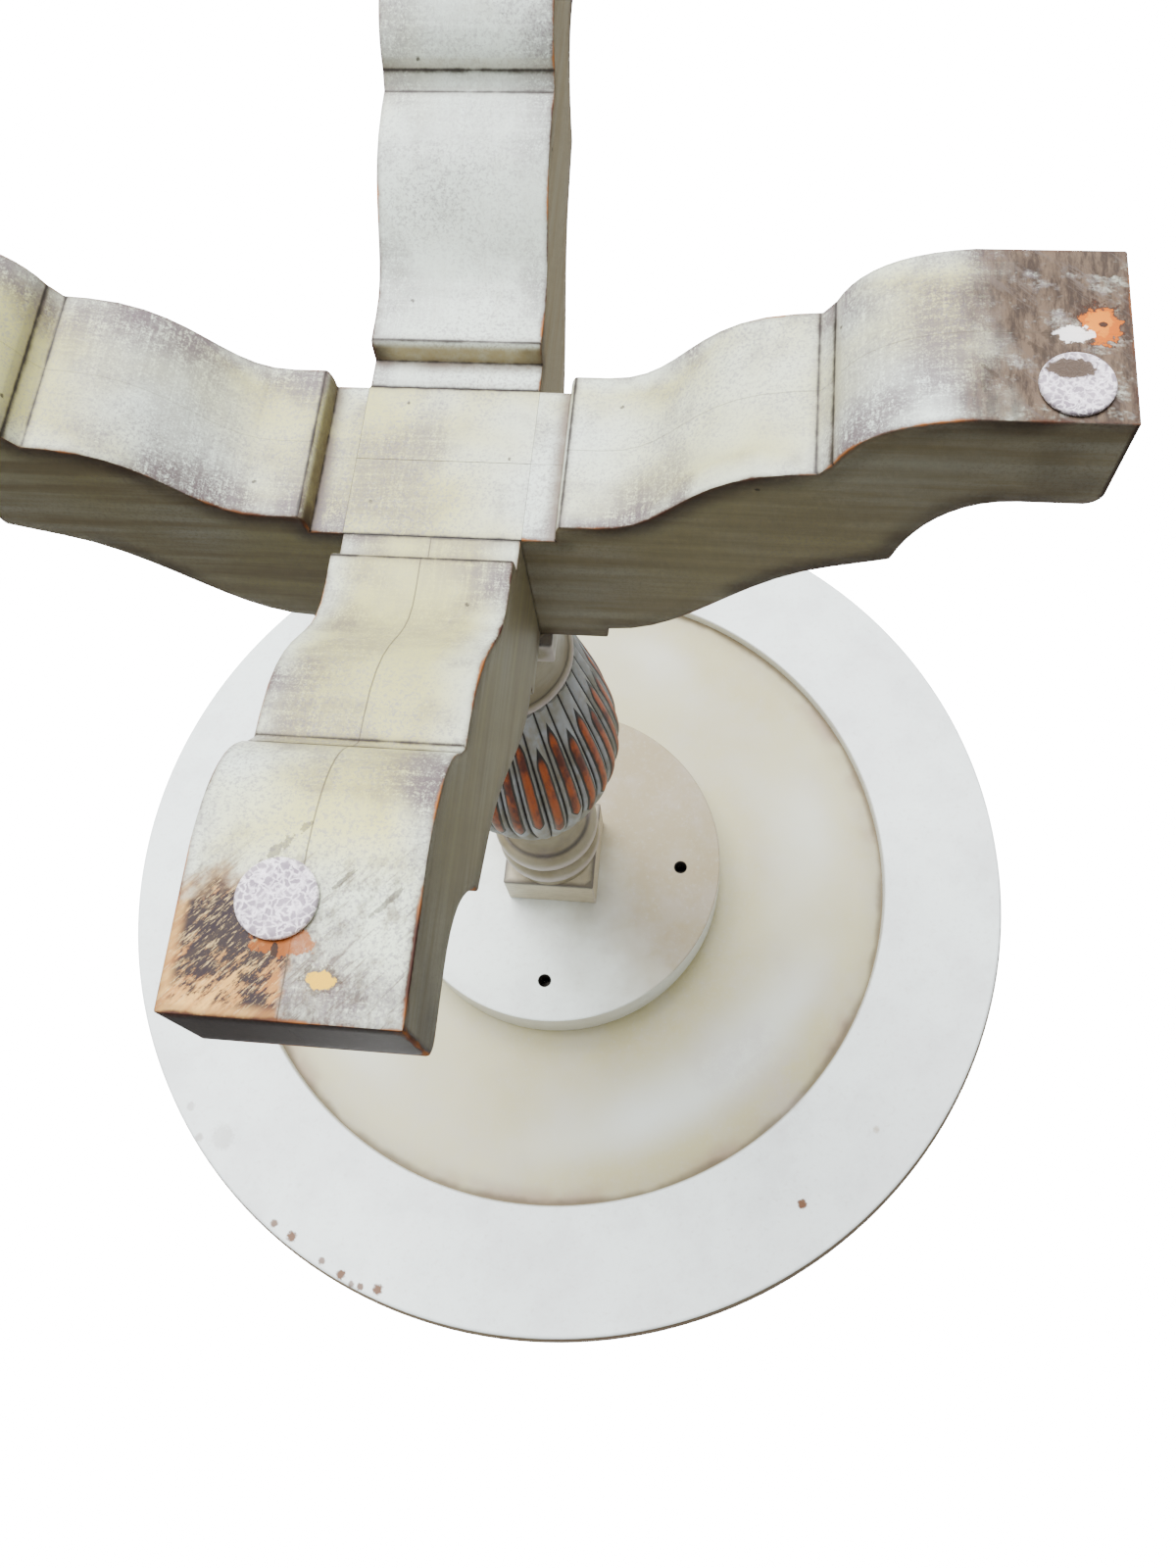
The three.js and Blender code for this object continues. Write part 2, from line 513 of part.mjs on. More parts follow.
// one segment of the built-up rim under the panel's edge; a glue joint parts it from the next
function rimSegment(index) {
  const sweep = 2 * Math.PI / RIM_SEGMENTS;
  const outerTrim = GLUE_GAP / 2 / rimOuterRadius;
  const innerRadius = rimOuterRadius - RIM_WIDTH;
  const innerTrim = GLUE_GAP / 2 / innerRadius;
  const steps = TOP_SEGMENTS / RIM_SEGMENTS;
  const outline = new THREE.Shape();
  for (let i = 0; i <= steps; i += 1) {
    const angle = outerTrim + (sweep - 2 * outerTrim) * i / steps;
    const method = i === 0 ? 'moveTo' : 'lineTo';
    outline[method](rimOuterRadius * Math.cos(angle), rimOuterRadius * Math.sin(angle));
  }
  for (let i = steps; i >= 0; i -= 1) {
    const angle = innerTrim + (sweep - 2 * innerTrim) * i / steps;
    outline.lineTo(innerRadius * Math.cos(angle), innerRadius * Math.sin(angle));
  }
  outline.closePath();
  const geometry = new THREE.ExtrudeGeometry(outline, {
    depth: RIM_THICKNESS, bevelEnabled: false, steps: 1,
  });
  geometry.rotateZ(sweep * index);
  geometry.translate(0, 0, rimZ);
  return solid(geometry);
}
for (let i = 0; i < RIM_SEGMENTS; i += 1) {
  addPiece(`rim_segment_${i + 1}`, rimSegment(i), 'topPaint');
}

export default table;
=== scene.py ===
# %% [markdown]
# # A round pedestal table, standing up
#
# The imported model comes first. It fixes every size and place, so the finished pieces are
# made round it. Everything is in metres, +Z is up and the origin lies on the floor under the
# middle of the column.

# %% Load the frame
import math

import bmesh
import bpy
import numpy as np
from mathutils import Matrix, Vector


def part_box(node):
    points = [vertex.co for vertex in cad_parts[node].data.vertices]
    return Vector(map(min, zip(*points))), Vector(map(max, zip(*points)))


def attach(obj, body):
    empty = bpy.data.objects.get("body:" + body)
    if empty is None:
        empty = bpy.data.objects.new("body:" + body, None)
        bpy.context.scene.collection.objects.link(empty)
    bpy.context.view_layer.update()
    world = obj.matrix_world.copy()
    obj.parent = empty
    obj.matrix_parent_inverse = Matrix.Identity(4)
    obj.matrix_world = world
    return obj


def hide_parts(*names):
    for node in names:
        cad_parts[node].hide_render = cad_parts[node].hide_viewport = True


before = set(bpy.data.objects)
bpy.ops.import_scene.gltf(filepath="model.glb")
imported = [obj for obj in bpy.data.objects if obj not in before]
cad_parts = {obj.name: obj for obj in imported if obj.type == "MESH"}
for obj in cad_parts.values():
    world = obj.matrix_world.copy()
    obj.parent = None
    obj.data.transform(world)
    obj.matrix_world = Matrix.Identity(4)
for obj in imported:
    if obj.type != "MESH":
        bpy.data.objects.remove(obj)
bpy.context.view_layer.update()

MM = 0.001

# %% [markdown]
# ## The camera
#
# The table is looked at from under its feet, as if it stood upside down on a bench. A camera
# is a place, a direction and an "up". Building its matrix from those three vectors is exact,
# while turning it by hand round three axes isn't.

# %% The camera
CAMERA_PLACE = Vector((-0.1365, -0.3597, -0.4056))
CAMERA_AIM = Vector((0.0965, 0.3648, 0.9261))
CAMERA_UP = Vector((0.0579, 0.9270, -0.3705))
SENSOR_HEIGHT = 36
LENS = 29.52


def point_at(thing, place, aim, up):
    """Puts a camera or a light at a place, looking along aim, with up as its upper side."""
    back = -aim.normalized()
    right = up.cross(back).normalized()
    turned = Matrix((right, back.cross(right), back)).transposed()
    thing.matrix_world = Matrix.Translation(place) @ turned.to_4x4()


bpy.ops.object.camera_add()
camera = bpy.context.object
camera.name = "studio_camera"
camera.data.sensor_fit = "VERTICAL"
camera.data.sensor_height = SENSOR_HEIGHT
camera.data.lens = LENS
camera.data.clip_start = 0.01
point_at(camera, CAMERA_PLACE, CAMERA_AIM, CAMERA_UP)
bpy.context.scene.camera = camera
print("camera elevation", round(math.degrees(math.asin(CAMERA_AIM.normalized().z)), 1))

# %% [markdown]
# ## Floor, sky and lamps
#
# The floor is a plain pale sheet under the felt pads. The camera looks up through it, so it
# is made one-sided: its back is clear, and its front is a matt paint. Shadow rays pass it
# too, because the main light comes from below and reaches the soles and the underside. It
# is a wide, even light from far away, so the shadows stay soft and both the legs and the
# top behind them are equally bright.

# %% Materials need a short way to add nodes
def add_node(tree, kind, settings=None, inputs=None):
    """Adds a node. An input is a plain value, or the output socket of another node."""
    made = tree.nodes.new(kind)
    for name, value in (settings or {}).items():
        setattr(made, name, value)
    for name, value in (inputs or {}).items():
        socket = made.inputs[name]
        if isinstance(value, bpy.types.NodeSocket):
            tree.links.new(value, socket)
        else:
            socket.default_value = value
    return made


def new_material(name):
    """An empty material with its output node, ready for a shader."""
    material = bpy.data.materials.new(name)
    material.use_nodes = True
    tree = material.node_tree
    tree.nodes.clear()
    return material, tree, tree.nodes.new("ShaderNodeOutputMaterial")


def rgb(red, green, blue):
    """A colour as the sockets want it, with a fourth number for its opacity."""
    return (red, green, blue, 1.0)


# %% [markdown]
# ## The floor
#
# The floor has to look solid from above and be clear from below. Backfacing tells the two
# sides apart, so one plane is enough.

# %% The floor
FLOOR_SIZE = 40.0
FLOOR_DROP = 0.5 * MM

bpy.ops.object.select_all(action="DESELECT")
bpy.ops.mesh.primitive_plane_add(size=FLOOR_SIZE, location=(0, 0, -FLOOR_DROP))
floor = bpy.context.object
floor.name = "studio_floor"
bpy.ops.object.transform_apply(location=True, rotation=True, scale=True)

floor_material, tree, output = new_material("pale floor")
see_through = add_node(tree, "ShaderNodeMath", {"operation": "MAXIMUM"}, {
    0: add_node(tree, "ShaderNodeNewGeometry").outputs["Backfacing"],
    1: add_node(tree, "ShaderNodeLightPath").outputs["Is Shadow Ray"]})
matt = add_node(tree, "ShaderNodeBsdfDiffuse", inputs={"Color": rgb(0.8, 0.8, 0.79)})
clear = add_node(tree, "ShaderNodeBsdfTransparent")
mixed = add_node(tree, "ShaderNodeMixShader", inputs={
    0: see_through.outputs[0], 1: matt.outputs[0], 2: clear.outputs[0]})
tree.links.new(mixed.outputs[0], output.inputs["Surface"])
floor.data.materials.append(floor_material)
print("floor", FLOOR_SIZE, "m wide")

# %% [markdown]
# ## The sky and the lamps
#
# The sky that is seen is plain white, and the sky that lights the table is weaker. Light Path
# tells the two apart. The sun from below is the main light, and two lamps fill in from above.

# %% The sky and the lamps
SKY_SEEN = rgb(1.0, 1.0, 1.0)
SKY_LIGHT = 0.4
SKY_SEEN_STRENGTH = 20.0

world = bpy.data.worlds.new("studio")
bpy.context.scene.world = world
world.use_nodes = True
tree = world.node_tree
tree.nodes.clear()
seen = add_node(tree, "ShaderNodeBackground", inputs={
    "Color": SKY_SEEN, "Strength": SKY_SEEN_STRENGTH})
lit = add_node(tree, "ShaderNodeBackground", inputs={
    "Color": rgb(0.95, 0.97, 1.0), "Strength": SKY_LIGHT})
either = add_node(tree, "ShaderNodeMixShader", inputs={
    0: add_node(tree, "ShaderNodeLightPath").outputs["Is Camera Ray"],
    1: lit.outputs[0], 2: seen.outputs[0]})
add_node(tree, "ShaderNodeOutputWorld", inputs={"Surface": either.outputs[0]})


def soft_lamp(name, place, aim_at, size, power, colour):
    """A wide square lamp that looks at a point."""
    bpy.ops.object.light_add(type="AREA")
    lamp = bpy.context.object
    lamp.name = name
    lamp.data.size = size
    lamp.data.energy = power
    lamp.data.color = colour
    point_at(lamp, Vector(place), Vector(aim_at) - Vector(place), Vector((0, 0, 1)))
    return lamp


def low_sun(name, aim, softness, strength):
    """Even light from far away. Its softness is the angle it fills, in degrees."""
    bpy.ops.object.light_add(type="SUN")
    lamp = bpy.context.object
    lamp.name = name
    lamp.data.angle = math.radians(softness)
    lamp.data.energy = strength
    point_at(lamp, Vector(aim) * -4, Vector(aim), Vector((0, 1, 0)))


low_sun("lamp_below", (-0.26, -0.32, 1.0), 42, 8.3)
soft_lamp("lamp_above", (0.2, 0.4, 3.4), (0, 0, 0.7), 2.4, 165, (1.0, 0.99, 0.97))
soft_lamp("lamp_above_back", (1.6, 1.8, 2.2), (0, 0, 0.4), 1.6, 55, (0.97, 0.98, 1.0))

# %% [markdown]
# ## Helpers for modelling
#
# Most pieces here are one of two kinds. A leg is a flat outline cut from a board, and a
# turned piece is a profile spun round the column's axis. Both start as one wire, drawn as a
# Bezier curve with a control point at each real corner. The curve is made a mesh, so that
# its edges can be filled or spun.

# %% Selecting and editing


def clear_selection():
    if bpy.context.object and bpy.context.object.mode != "OBJECT":
        bpy.ops.object.mode_set(mode="OBJECT")
    bpy.ops.object.select_all(action="DESELECT")


def edit_all(thing):
    """Goes into edit mode with every vertex of one mesh selected."""
    clear_selection()
    thing.select_set(True)
    bpy.context.view_layer.objects.active = thing
    bpy.ops.object.mode_set(mode="EDIT")
    bpy.ops.mesh.select_all(action="SELECT")


def leave_edit():
    bpy.ops.object.mode_set(mode="OBJECT")


def pick(thing):
    """Selects one object alone and makes it the active one."""
    clear_selection()
    thing.select_set(True)
    bpy.context.view_layer.objects.active = thing


# %% [markdown]
# ## Drawing a wire
#
# An outline is a closed Bezier curve in the XZ plane, with free handles only where a stretch is
# round. It is turned into a mesh, since faces are made from mesh edges.

# %% Wires
CURVE_STEPS = 10


def wire(name, start, steps, curve_steps=CURVE_STEPS):
    """A closed outline in the XZ plane. A step is an end point, or two handles and one."""
    clear_selection()
    bpy.ops.curve.primitive_bezier_curve_add()
    drawn = bpy.context.object
    drawn.name = name
    drawn.data.splines.clear()
    drawn.data.resolution_u = curve_steps
    spline = drawn.data.splines.new("BEZIER")
    spline.bezier_points.add(len(steps))
    spline.use_cyclic_u = True
    points = spline.bezier_points
    ends = [start] + [step[2] if isinstance(step[0], tuple) else step for step in steps]
    for point, end in zip(points, ends):
        point.handle_left_type = point.handle_right_type = "VECTOR"
        point.co = (end[0], 0, end[1])
    for i, step in enumerate(steps):
        if isinstance(step[0], tuple):
            after = points[(i + 1) % len(points)]
            points[i].handle_right_type = after.handle_left_type = "FREE"
            points[i].handle_right = (step[0][0], 0, step[0][1])
            after.handle_left = (step[1][0], 0, step[1][1])
    bpy.ops.object.convert(target="MESH")
    return bpy.context.object


# %% [markdown]
# ## From a wire to a solid
#
# A filled wire that is pulled sideways is a board. A wire spun round the axis is a turned
# piece. Both end with doubles merged and faces turned outwards.

# %% Fills and spins
def close_up(thing):
    """Merges what meets and turns every face outwards."""
    edit_all(thing)
    bpy.ops.mesh.remove_doubles(threshold=0.01 * MM)
    bpy.ops.mesh.normals_make_consistent(inside=False)
    leave_edit()


def cut_board(thing, thickness, near):
    """Fills a wire and pulls it sideways along Y, from near, into a board."""
    edit_all(thing)
    bpy.ops.transform.translate(value=(0, near, 0))
    bpy.ops.mesh.edge_face_add()
    bpy.ops.mesh.extrude_region_move(TRANSFORM_OT_translate={"value": (0, thickness, 0)})
    leave_edit()
    close_up(thing)


def turn_on_lathe(thing, steps):
    """Spins a wire all the way round the column's axis."""
    edit_all(thing)
    bpy.ops.mesh.spin(steps=steps, angle=2 * math.pi, center=(0, 0, 0), axis=(0, 0, 1))
    leave_edit()
    close_up(thing)


# %% [markdown]
# ## Finishing a mesh
#
# Sharp edges catch no light, so they are rounded as by sanding. Slices give the distances
# vertices to sit on, and smooth shading hides the facets of round parts.

# %% Rounding, slicing and smoothing
def soften_edges(thing, width, segments=2, angle=30):
    """Rounds the sharp edges, as sanding does."""
    rounding = thing.modifiers.new("sanded", "BEVEL")
    rounding.width = width
    rounding.segments = segments
    rounding.limit_method = "ANGLE"
    rounding.angle_limit = math.radians(angle)
    pick(thing)
    bpy.ops.object.modifier_apply(modifier=rounding.name)


def slice_up(thing, axis, places):
    """Cuts a mesh across an axis at each place, so that its faces stay small."""
    normal = [0, 0, 0]
    normal[axis] = 1
    edit_all(thing)
    for place in places:
        point = [0, 0, 0]
        point[axis] = place
        bpy.ops.mesh.select_all(action="SELECT")
        bpy.ops.mesh.bisect(plane_co=point, plane_no=normal)
    leave_edit()


def shade_round(thing, angle=28):
    pick(thing)
    bpy.ops.object.shade_smooth_by_angle(angle=math.radians(angle))


# %% [markdown]
# ## How far is it to an edge?
#
# Old paint wears off along edges and gathers dirt in corners. The materials need to know
# where those are, so each piece carries the distance from every vertex to its nearest edge
# line and corner line as an attribute. Distance grows evenly between vertices, so it stays
# true on large faces too.

# %% Distances as attributes
def distance_to_lines(points, lines):
    """Distance from each point to the nearest of some straight stretches."""
    nearest = np.full(len(points), 1.0)
    for start, end in lines:
        start = np.array(start)
        along = np.array(end) - start
        share = (points - start) @ along / max(along @ along, 1e-12)
        feet = start + np.clip(share, 0, 1)[:, None] * along
        nearest = np.minimum(nearest, np.linalg.norm(points - feet, axis=1))
    return nearest


def vertex_places(thing):
    places = np.empty(len(thing.data.vertices) * 3)
    thing.data.vertices.foreach_get("co", places)
    return places.reshape(-1, 3)


def write_attribute(thing, name, values):
    made = thing.data.attributes.new(name, "FLOAT", "POINT")
    made.data.foreach_set("value", np.asarray(values, dtype=np.float32))


def write_vectors(thing, name, values):
    made = thing.data.attributes.new(name, "FLOAT_VECTOR", "POINT")
    made.data.foreach_set("vector", np.asarray(values, dtype=np.float32).ravel())


def ring_line(radius, height, steps=72):
    """A circle round the axis as straight stretches."""
    corners = [(radius * math.cos(2 * math.pi * i / steps),
                radius * math.sin(2 * math.pi * i / steps), height) for i in range(steps)]
    return list(zip(corners, corners[1:] + corners[:1]))


made_pieces = []


def hand_over(piece, slot_name, material, *nodes):
    """Paints a finished piece, hangs it on the root body, hides the CAD nodes that it stands for
    and adds its name to the list of made pieces.
    """
    piece.data.materials.clear()
    piece.data.materials.append(material)
    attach(piece, "root")
    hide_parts(*nodes)
    made_pieces.append(piece.name)
    print(piece.name, len(piece.data.polygons), "faces")

# %% [markdown]
# ## Short words for shader work
#
# A painted and rubbed surface is a pile of masks: where the paint is thin, where it is
# scuffed, where wood shows. Each mask is a noise or a distance, cut off between two values.
# These few helpers say that in one line each.

# %% Masks and colours
def maths(tree, operation, first, second=0.0, clamp=False):
    return add_node(tree, "ShaderNodeMath", {"operation": operation, "use_clamp": clamp},
                    {0: first, 1: second}).outputs[0]


def times(tree, *values):
    product = values[0]
    for value in values[1:]:
        product = maths(tree, "MULTIPLY", product, value)
    return product


def fade(tree, value, low, high, at_low=0.0, at_high=1.0):
    """Runs smoothly from at_low to at_high while value goes from low to high."""
    return add_node(tree, "ShaderNodeMapRange", {"interpolation_type": "SMOOTHSTEP"}, {
        "Value": value, "From Min": low, "From Max": high,
        "To Min": at_low, "To Max": at_high}).outputs["Result"]


def either_colour(tree, share, first, second, blend="MIX"):
    return add_node(tree, "ShaderNodeMix", {"data_type": "RGBA", "blend_type": blend},
                    {0: share, 6: first, 7: second}).outputs[2]


def cloud(tree, place, scale, detail=3.0, roughness=0.55, seed=0.0, stretch=None):
    """Soft noise from 0 to 1. stretch draws it out into streaks."""
    if stretch is not None:
        place = add_node(tree, "ShaderNodeVectorMath", {"operation": "MULTIPLY"},
                         {0: place, 1: stretch}).outputs[0]
    return add_node(tree, "ShaderNodeTexNoise", {"noise_dimensions": "4D"}, {
        "Vector": place, "W": seed, "Scale": scale, "Detail": detail,
        "Roughness": roughness}).outputs["Fac"]


def attribute(tree, name, output="Fac"):
    return add_node(tree, "ShaderNodeAttribute", {"attribute_name": name}).outputs[output]


# %% [markdown]
# ## Which way a face looks
#
# Glaze and painted shade go on upright faces, and faces that look up get their own copy of the
# paint. The normal tells them apart.

# %% Which way a face looks
def upright_share(tree):
    """1 on upright faces, 0 on faces that look straight up or down."""
    normal = add_node(tree, "ShaderNodeNewGeometry").outputs["Normal"]
    up = add_node(tree, "ShaderNodeSeparateXYZ", inputs={0: normal}).outputs["Z"]
    return fade(tree, maths(tree, "ABSOLUTE", up), 0.2, 0.55, 1.0, 0.0)


def facing_up(tree):
    normal = add_node(tree, "ShaderNodeNewGeometry").outputs["Normal"]
    return fade(tree, add_node(tree, "ShaderNodeSeparateXYZ", inputs={
        0: normal}).outputs["Z"], 0.0, 0.3)


# %% [markdown]
# ## Groups and the shader
#
# An effect that several materials share is a node group. The shader itself is a Principled
# BSDF that stays in each material, with its plain numbers set on its own sockets.

# %% Groups and the shader
def new_group(name, inputs, outputs):
    """An empty node group. A socket is (name, kind, standard value)."""
    group = bpy.data.node_groups.new(name, "ShaderNodeTree")
    for socket_name, kind, value in inputs:
        socket = group.interface.new_socket(name=socket_name, in_out="INPUT",
                                            socket_type="NodeSocket" + kind)
        if value is not None:
            socket.default_value = value
    for socket_name, kind in outputs:
        group.interface.new_socket(name=socket_name, in_out="OUTPUT",
                                   socket_type="NodeSocket" + kind)
    return group, group.nodes.new("NodeGroupInput").outputs, group.nodes.new("NodeGroupOutput")


def use_group(tree, group, inputs):
    return add_node(tree, "ShaderNodeGroup", {"node_tree": group}, inputs).outputs


def glossy_coat(tree, output, colour, roughness, height, bump, **fixed):
    """The shader itself: a Principled BSDF whose surface is raised by a height in metres."""
    raised = add_node(tree, "ShaderNodeBump", inputs={"Height": height, "Distance": bump,
                                                      "Strength": 0.6})
    plain = {"Base Color": colour, "Roughness": roughness, "Normal": raised.outputs[0]}
    plain.update({name.replace("_", " "): value for name, value in fixed.items()})
    shader = add_node(tree, "ShaderNodeBsdfPrincipled", inputs=plain)
    tree.links.new(shader.outputs[0], output.inputs["Surface"])


# %% [markdown]
# ## Edge wear, scuffs, specks and grain
#
# Four effects come back in every painted piece, so each is a node group that is built once.
# Worn edges follow the distance attribute and are broken up by noise. Scuffs are clouds that
# let streaks through. Specks are the few small cells of a Voronoi pattern that win a draw.
# Grain is noise drawn out along the board.

# %% Worn edges
worn_edge, inside, outside = new_group("worn edge", [
    ("Place", "Vector", None), ("Seed", "Float", 0.0), ("Distance", "Float", 1.0),
    ("Width", "Float", 1.5 * MM), ("Raggedness", "Float", 3 * MM), ("Scale", "Float", 60.0),
], [("Bare", "Float"), ("Stain", "Float")])
ragged = cloud(worn_edge, inside["Place"], inside["Scale"], 5, 0.65, inside["Seed"])
shift = times(worn_edge, maths(worn_edge, "SUBTRACT", ragged, 0.5), inside["Raggedness"])
shifted = maths(worn_edge, "ADD", inside["Distance"], shift)
stain_width = times(worn_edge, inside["Width"], 3.0)
for width, socket_name in ((inside["Width"], "Bare"), (stain_width, "Stain")):
    worn_edge.links.new(fade(worn_edge, shifted, 0.0, width, 1.0, 0.0),
                        outside.inputs[socket_name])
print("group", worn_edge.name)

# %% [markdown]
# ## Scuffs
#
# Rubbing leaves patches of fine streaks. Broad noise says where a patch lies, and streaked
# noise breaks it up, so that paint shows between the streaks.

# %% Scuffs
scuffs, inside, outside = new_group("scuffs", [
    ("Place", "Vector", None), ("Seed", "Float", 0.0), ("Scale", "Float", 12.0),
    ("Streak", "Vector", (30.0, 300.0, 300.0)), ("Amount", "Float", 0.5),
], [("Mask", "Float")])
patches = cloud(scuffs, inside["Place"], inside["Scale"], 3, 0.6, inside["Seed"])
threshold = maths(scuffs, "SUBTRACT", 0.78, times(scuffs, inside["Amount"], 0.3))
patch = fade(scuffs, maths(scuffs, "SUBTRACT", patches, threshold), -0.08, 0.09)
streaks = cloud(scuffs, inside["Place"], 1.0, 4, 0.7, inside["Seed"], inside["Streak"])
fine = cloud(scuffs, inside["Place"], 1000.0, 2, 0.8, inside["Seed"])
broken = fade(scuffs, maths(scuffs, "ADD", times(scuffs, streaks, 0.65),
                            times(scuffs, fine, 0.45)), 0.44, 0.59)
scuffs.links.new(times(scuffs, patch, broken), outside.inputs["Mask"])
print("group", scuffs.name)

# %% [markdown]
# ## Specks
#
# A Voronoi pattern gives every cell a random colour. The few cells that draw a low number
# get a small ragged dot.

# %% Specks
specks, inside, outside = new_group("specks", [
    ("Place", "Vector", None), ("Scale", "Float", 120.0), ("Size", "Float", 0.12),
    ("Share", "Float", 0.1),
], [("Mask", "Float")])
cells = add_node(specks, "ShaderNodeTexVoronoi", inputs={
    "Vector": inside["Place"], "Scale": inside["Scale"]})
drawn_lot = add_node(specks, "ShaderNodeSeparateColor", inputs={
    0: cells.outputs["Color"]}).outputs[0]
chosen = maths(specks, "LESS_THAN", drawn_lot, inside["Share"])
ragged = times(specks, cloud(specks, inside["Place"], 900.0, 2, 0.6), inside["Size"], 2.0)
dot = fade(specks, maths(specks, "SUBTRACT", cells.outputs["Distance"], ragged), -0.03, 0.03,
           1.0, 0.0)
specks.links.new(times(specks, chosen, dot), outside.inputs["Mask"])
print("group", specks.name)

# %% [markdown]
# ## Wood grain
#
# Noise that is stretched along one direction gives lines of grain, and broad noise shifts
# their tone.

# %% Wood grain
grain, inside, outside = new_group("wood grain", [
    ("Place", "Vector", None), ("Seed", "Float", 0.0), ("Run", "Vector", (14.0, 260.0, 260.0)),
    ("Pale", "Color", rgb(0.62, 0.36, 0.15)), ("Dark", "Color", rgb(0.22, 0.07, 0.02)),
], [("Colour", "Color"), ("Height", "Float")])
lines = cloud(grain, inside["Place"], 1.0, 5, 0.6, inside["Seed"], inside["Run"])
broad = cloud(grain, inside["Place"], 22.0, 2, 0.5, inside["Seed"])
mixed = maths(grain, "ADD", times(grain, lines, 0.6), times(grain, broad, 0.4))
grain.links.new(either_colour(grain, fade(grain, mixed, 0.36, 0.62), inside["Pale"],
                              inside["Dark"]), outside.inputs["Colour"])
grain.links.new(lines, outside.inputs["Height"])
print("group", grain.name)

# %% [markdown]
# ## The legs' paint
#
# The legs are painted a warm antique white and rubbed back. Near the edges the paint is
# cooler and whiter, with purple-grey scuffs, and along them it is gone. Upright faces carry
# a darker glaze, which is also painted shade, with brown-black smudges where hands and a rag
# left it. Each leg has its own number, which moves all the noise, and its own wear under the foot.

# %% Leg paint
# The first cream is a more saturated copy for the undersides, tuned to the strong light from below;
# the second is the plain cream for faces that look up.
LEG_CREAM = rgb(0.58, 0.56, 0.24)
LEG_CREAM_ABOVE = rgb(0.60, 0.575, 0.42)
LEG_COOL = rgb(0.72, 0.80, 0.76)
# The glaze colour on upright faces is partly glaze and partly painted shade.
LEG_GLAZE_AND_SHADE = rgb(0.225, 0.185, 0.112)
LEG_END = rgb(0.025, 0.018, 0.012)
SCUFF_PURPLE = rgb(0.14, 0.108, 0.125)
BURNISH = rgb(0.035, 0.022, 0.018)
WORN_ORANGE = rgb(0.40, 0.15, 0.045)
WORN_BROWN = rgb(0.07, 0.030, 0.022)
EDGE_REACH = 30 * MM
FOOT_SOLE_START = 0.214
FOOT_SOLE_SCRAPED = 0.246
LEG_END_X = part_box("leg_right_board_a")[1][0]
STEP_FOOT = 58 * MM
SLANT = math.radians(42)


def chip(tree, place, centre, size, colour, under, raggedness=1.1, scale=270.0, share=1.0):
    """Lays one ragged patch of a colour over another. size is its half length and width."""
    moved = add_node(tree, "ShaderNodeVectorMath", {"operation": "SUBTRACT"},
                     {0: place, 1: centre}).outputs[0]
    scaled = add_node(tree, "ShaderNodeVectorMath", {"operation": "MULTIPLY"}, {
        0: moved, 1: (1 / size[0], 1 / size[1], 30.0)}).outputs[0]
    away = add_node(tree, "ShaderNodeVectorMath", {"operation": "LENGTH"},
                    {0: scaled}).outputs["Value"]
    ragged = times(tree, maths(tree, "SUBTRACT", cloud(tree, place, scale, 4, 0.65), 0.5),
                   raggedness * 2)
    inside_it = fade(tree, maths(tree, "ADD", away, ragged), 0.94, 1.08, share, 0.0)
    return either_colour(tree, inside_it, under, colour)


# %% [markdown]
# ## What a layer of paint needs to know
#
# Each layer of the legs' paint depends on where a point is: along, across or up the leg, near
# an edge or a corner, on a flat face or an upright one. One small class looks that up.

# %% Where a point of a leg is
class LegSurface:
    """Where a point of a leg is, for the layers of its paint."""

    def __init__(self, tree):
        self.tree = tree
        self.place = attribute(tree, "place", "Vector")
        self.seed = attribute(tree, "number")
        self.to_edge = attribute(tree, "to_edge")
        self.to_corner = attribute(tree, "to_corner")
        split = add_node(tree, "ShaderNodeSeparateXYZ", inputs={0: self.place}).outputs
        self.along, self.across, self.height = split["X"], split["Y"], split["Z"]
        self.upright = upright_share(tree)
        self.flat = maths(tree, "SUBTRACT", 1.0, self.upright)
        self.slanting = add_node(tree, "ShaderNodeMapping", inputs={
            "Vector": self.place, "Rotation": (0.0, 0.0, -SLANT)}).outputs[0]


# %% [markdown]
# ## The coat
#
# The cream is warm in the middle of a face, and cool and white towards its edges. Brush marks
# and fine grit break it up.

# %% The coat
def leg_coat(leg, warmth):
    tree, place, seed = leg.tree, leg.place, leg.seed
    near_edge = fade(tree, maths(tree, "ADD", leg.to_edge, times(
        tree, cloud(tree, place, 18, 3, 0.6, seed), 30 * MM)), 12 * MM, 34 * MM, 1.0, 0.0)
    drift = fade(tree, cloud(tree, place, 7, 3, 0.5, seed), 0.24 + 0.36 * warmth,
                 0.42 + 0.36 * warmth)
    on_foot = times(tree, fade(tree, leg.along, 0.215, 0.245), 0.75)
    cool_share = maths(tree, "MAXIMUM", maths(tree, "MAXIMUM", times(tree, near_edge, 0.8), drift),
                       on_foot)
    # Undersides take the copy of the cream that is tuned to the strong light from below.
    cream = either_colour(tree, facing_up(tree), LEG_CREAM, LEG_CREAM_ABOVE)
    colour = either_colour(tree, cool_share, cream, LEG_COOL)
    brushed = cloud(tree, place, 1.0, 4, 0.7, seed, (9.0, 150.0, 150.0))
    colour = either_colour(tree, fade(tree, brushed, 0.40, 0.75, 0.0, 0.22), colour,
                           rgb(0.40, 0.38, 0.30))
    grit = cloud(tree, place, 620, 3, 0.8, seed)
    gritty = fade(tree, cloud(tree, place, 16, 3, 0.6, seed), 0.34, 0.60, 0.2, 1.0)
    colour = either_colour(tree, times(tree, fade(tree, grit, 0.48, 0.60, 0.0, 0.75), gritty),
                           colour, rgb(0.30, 0.29, 0.31))
    return colour, brushed
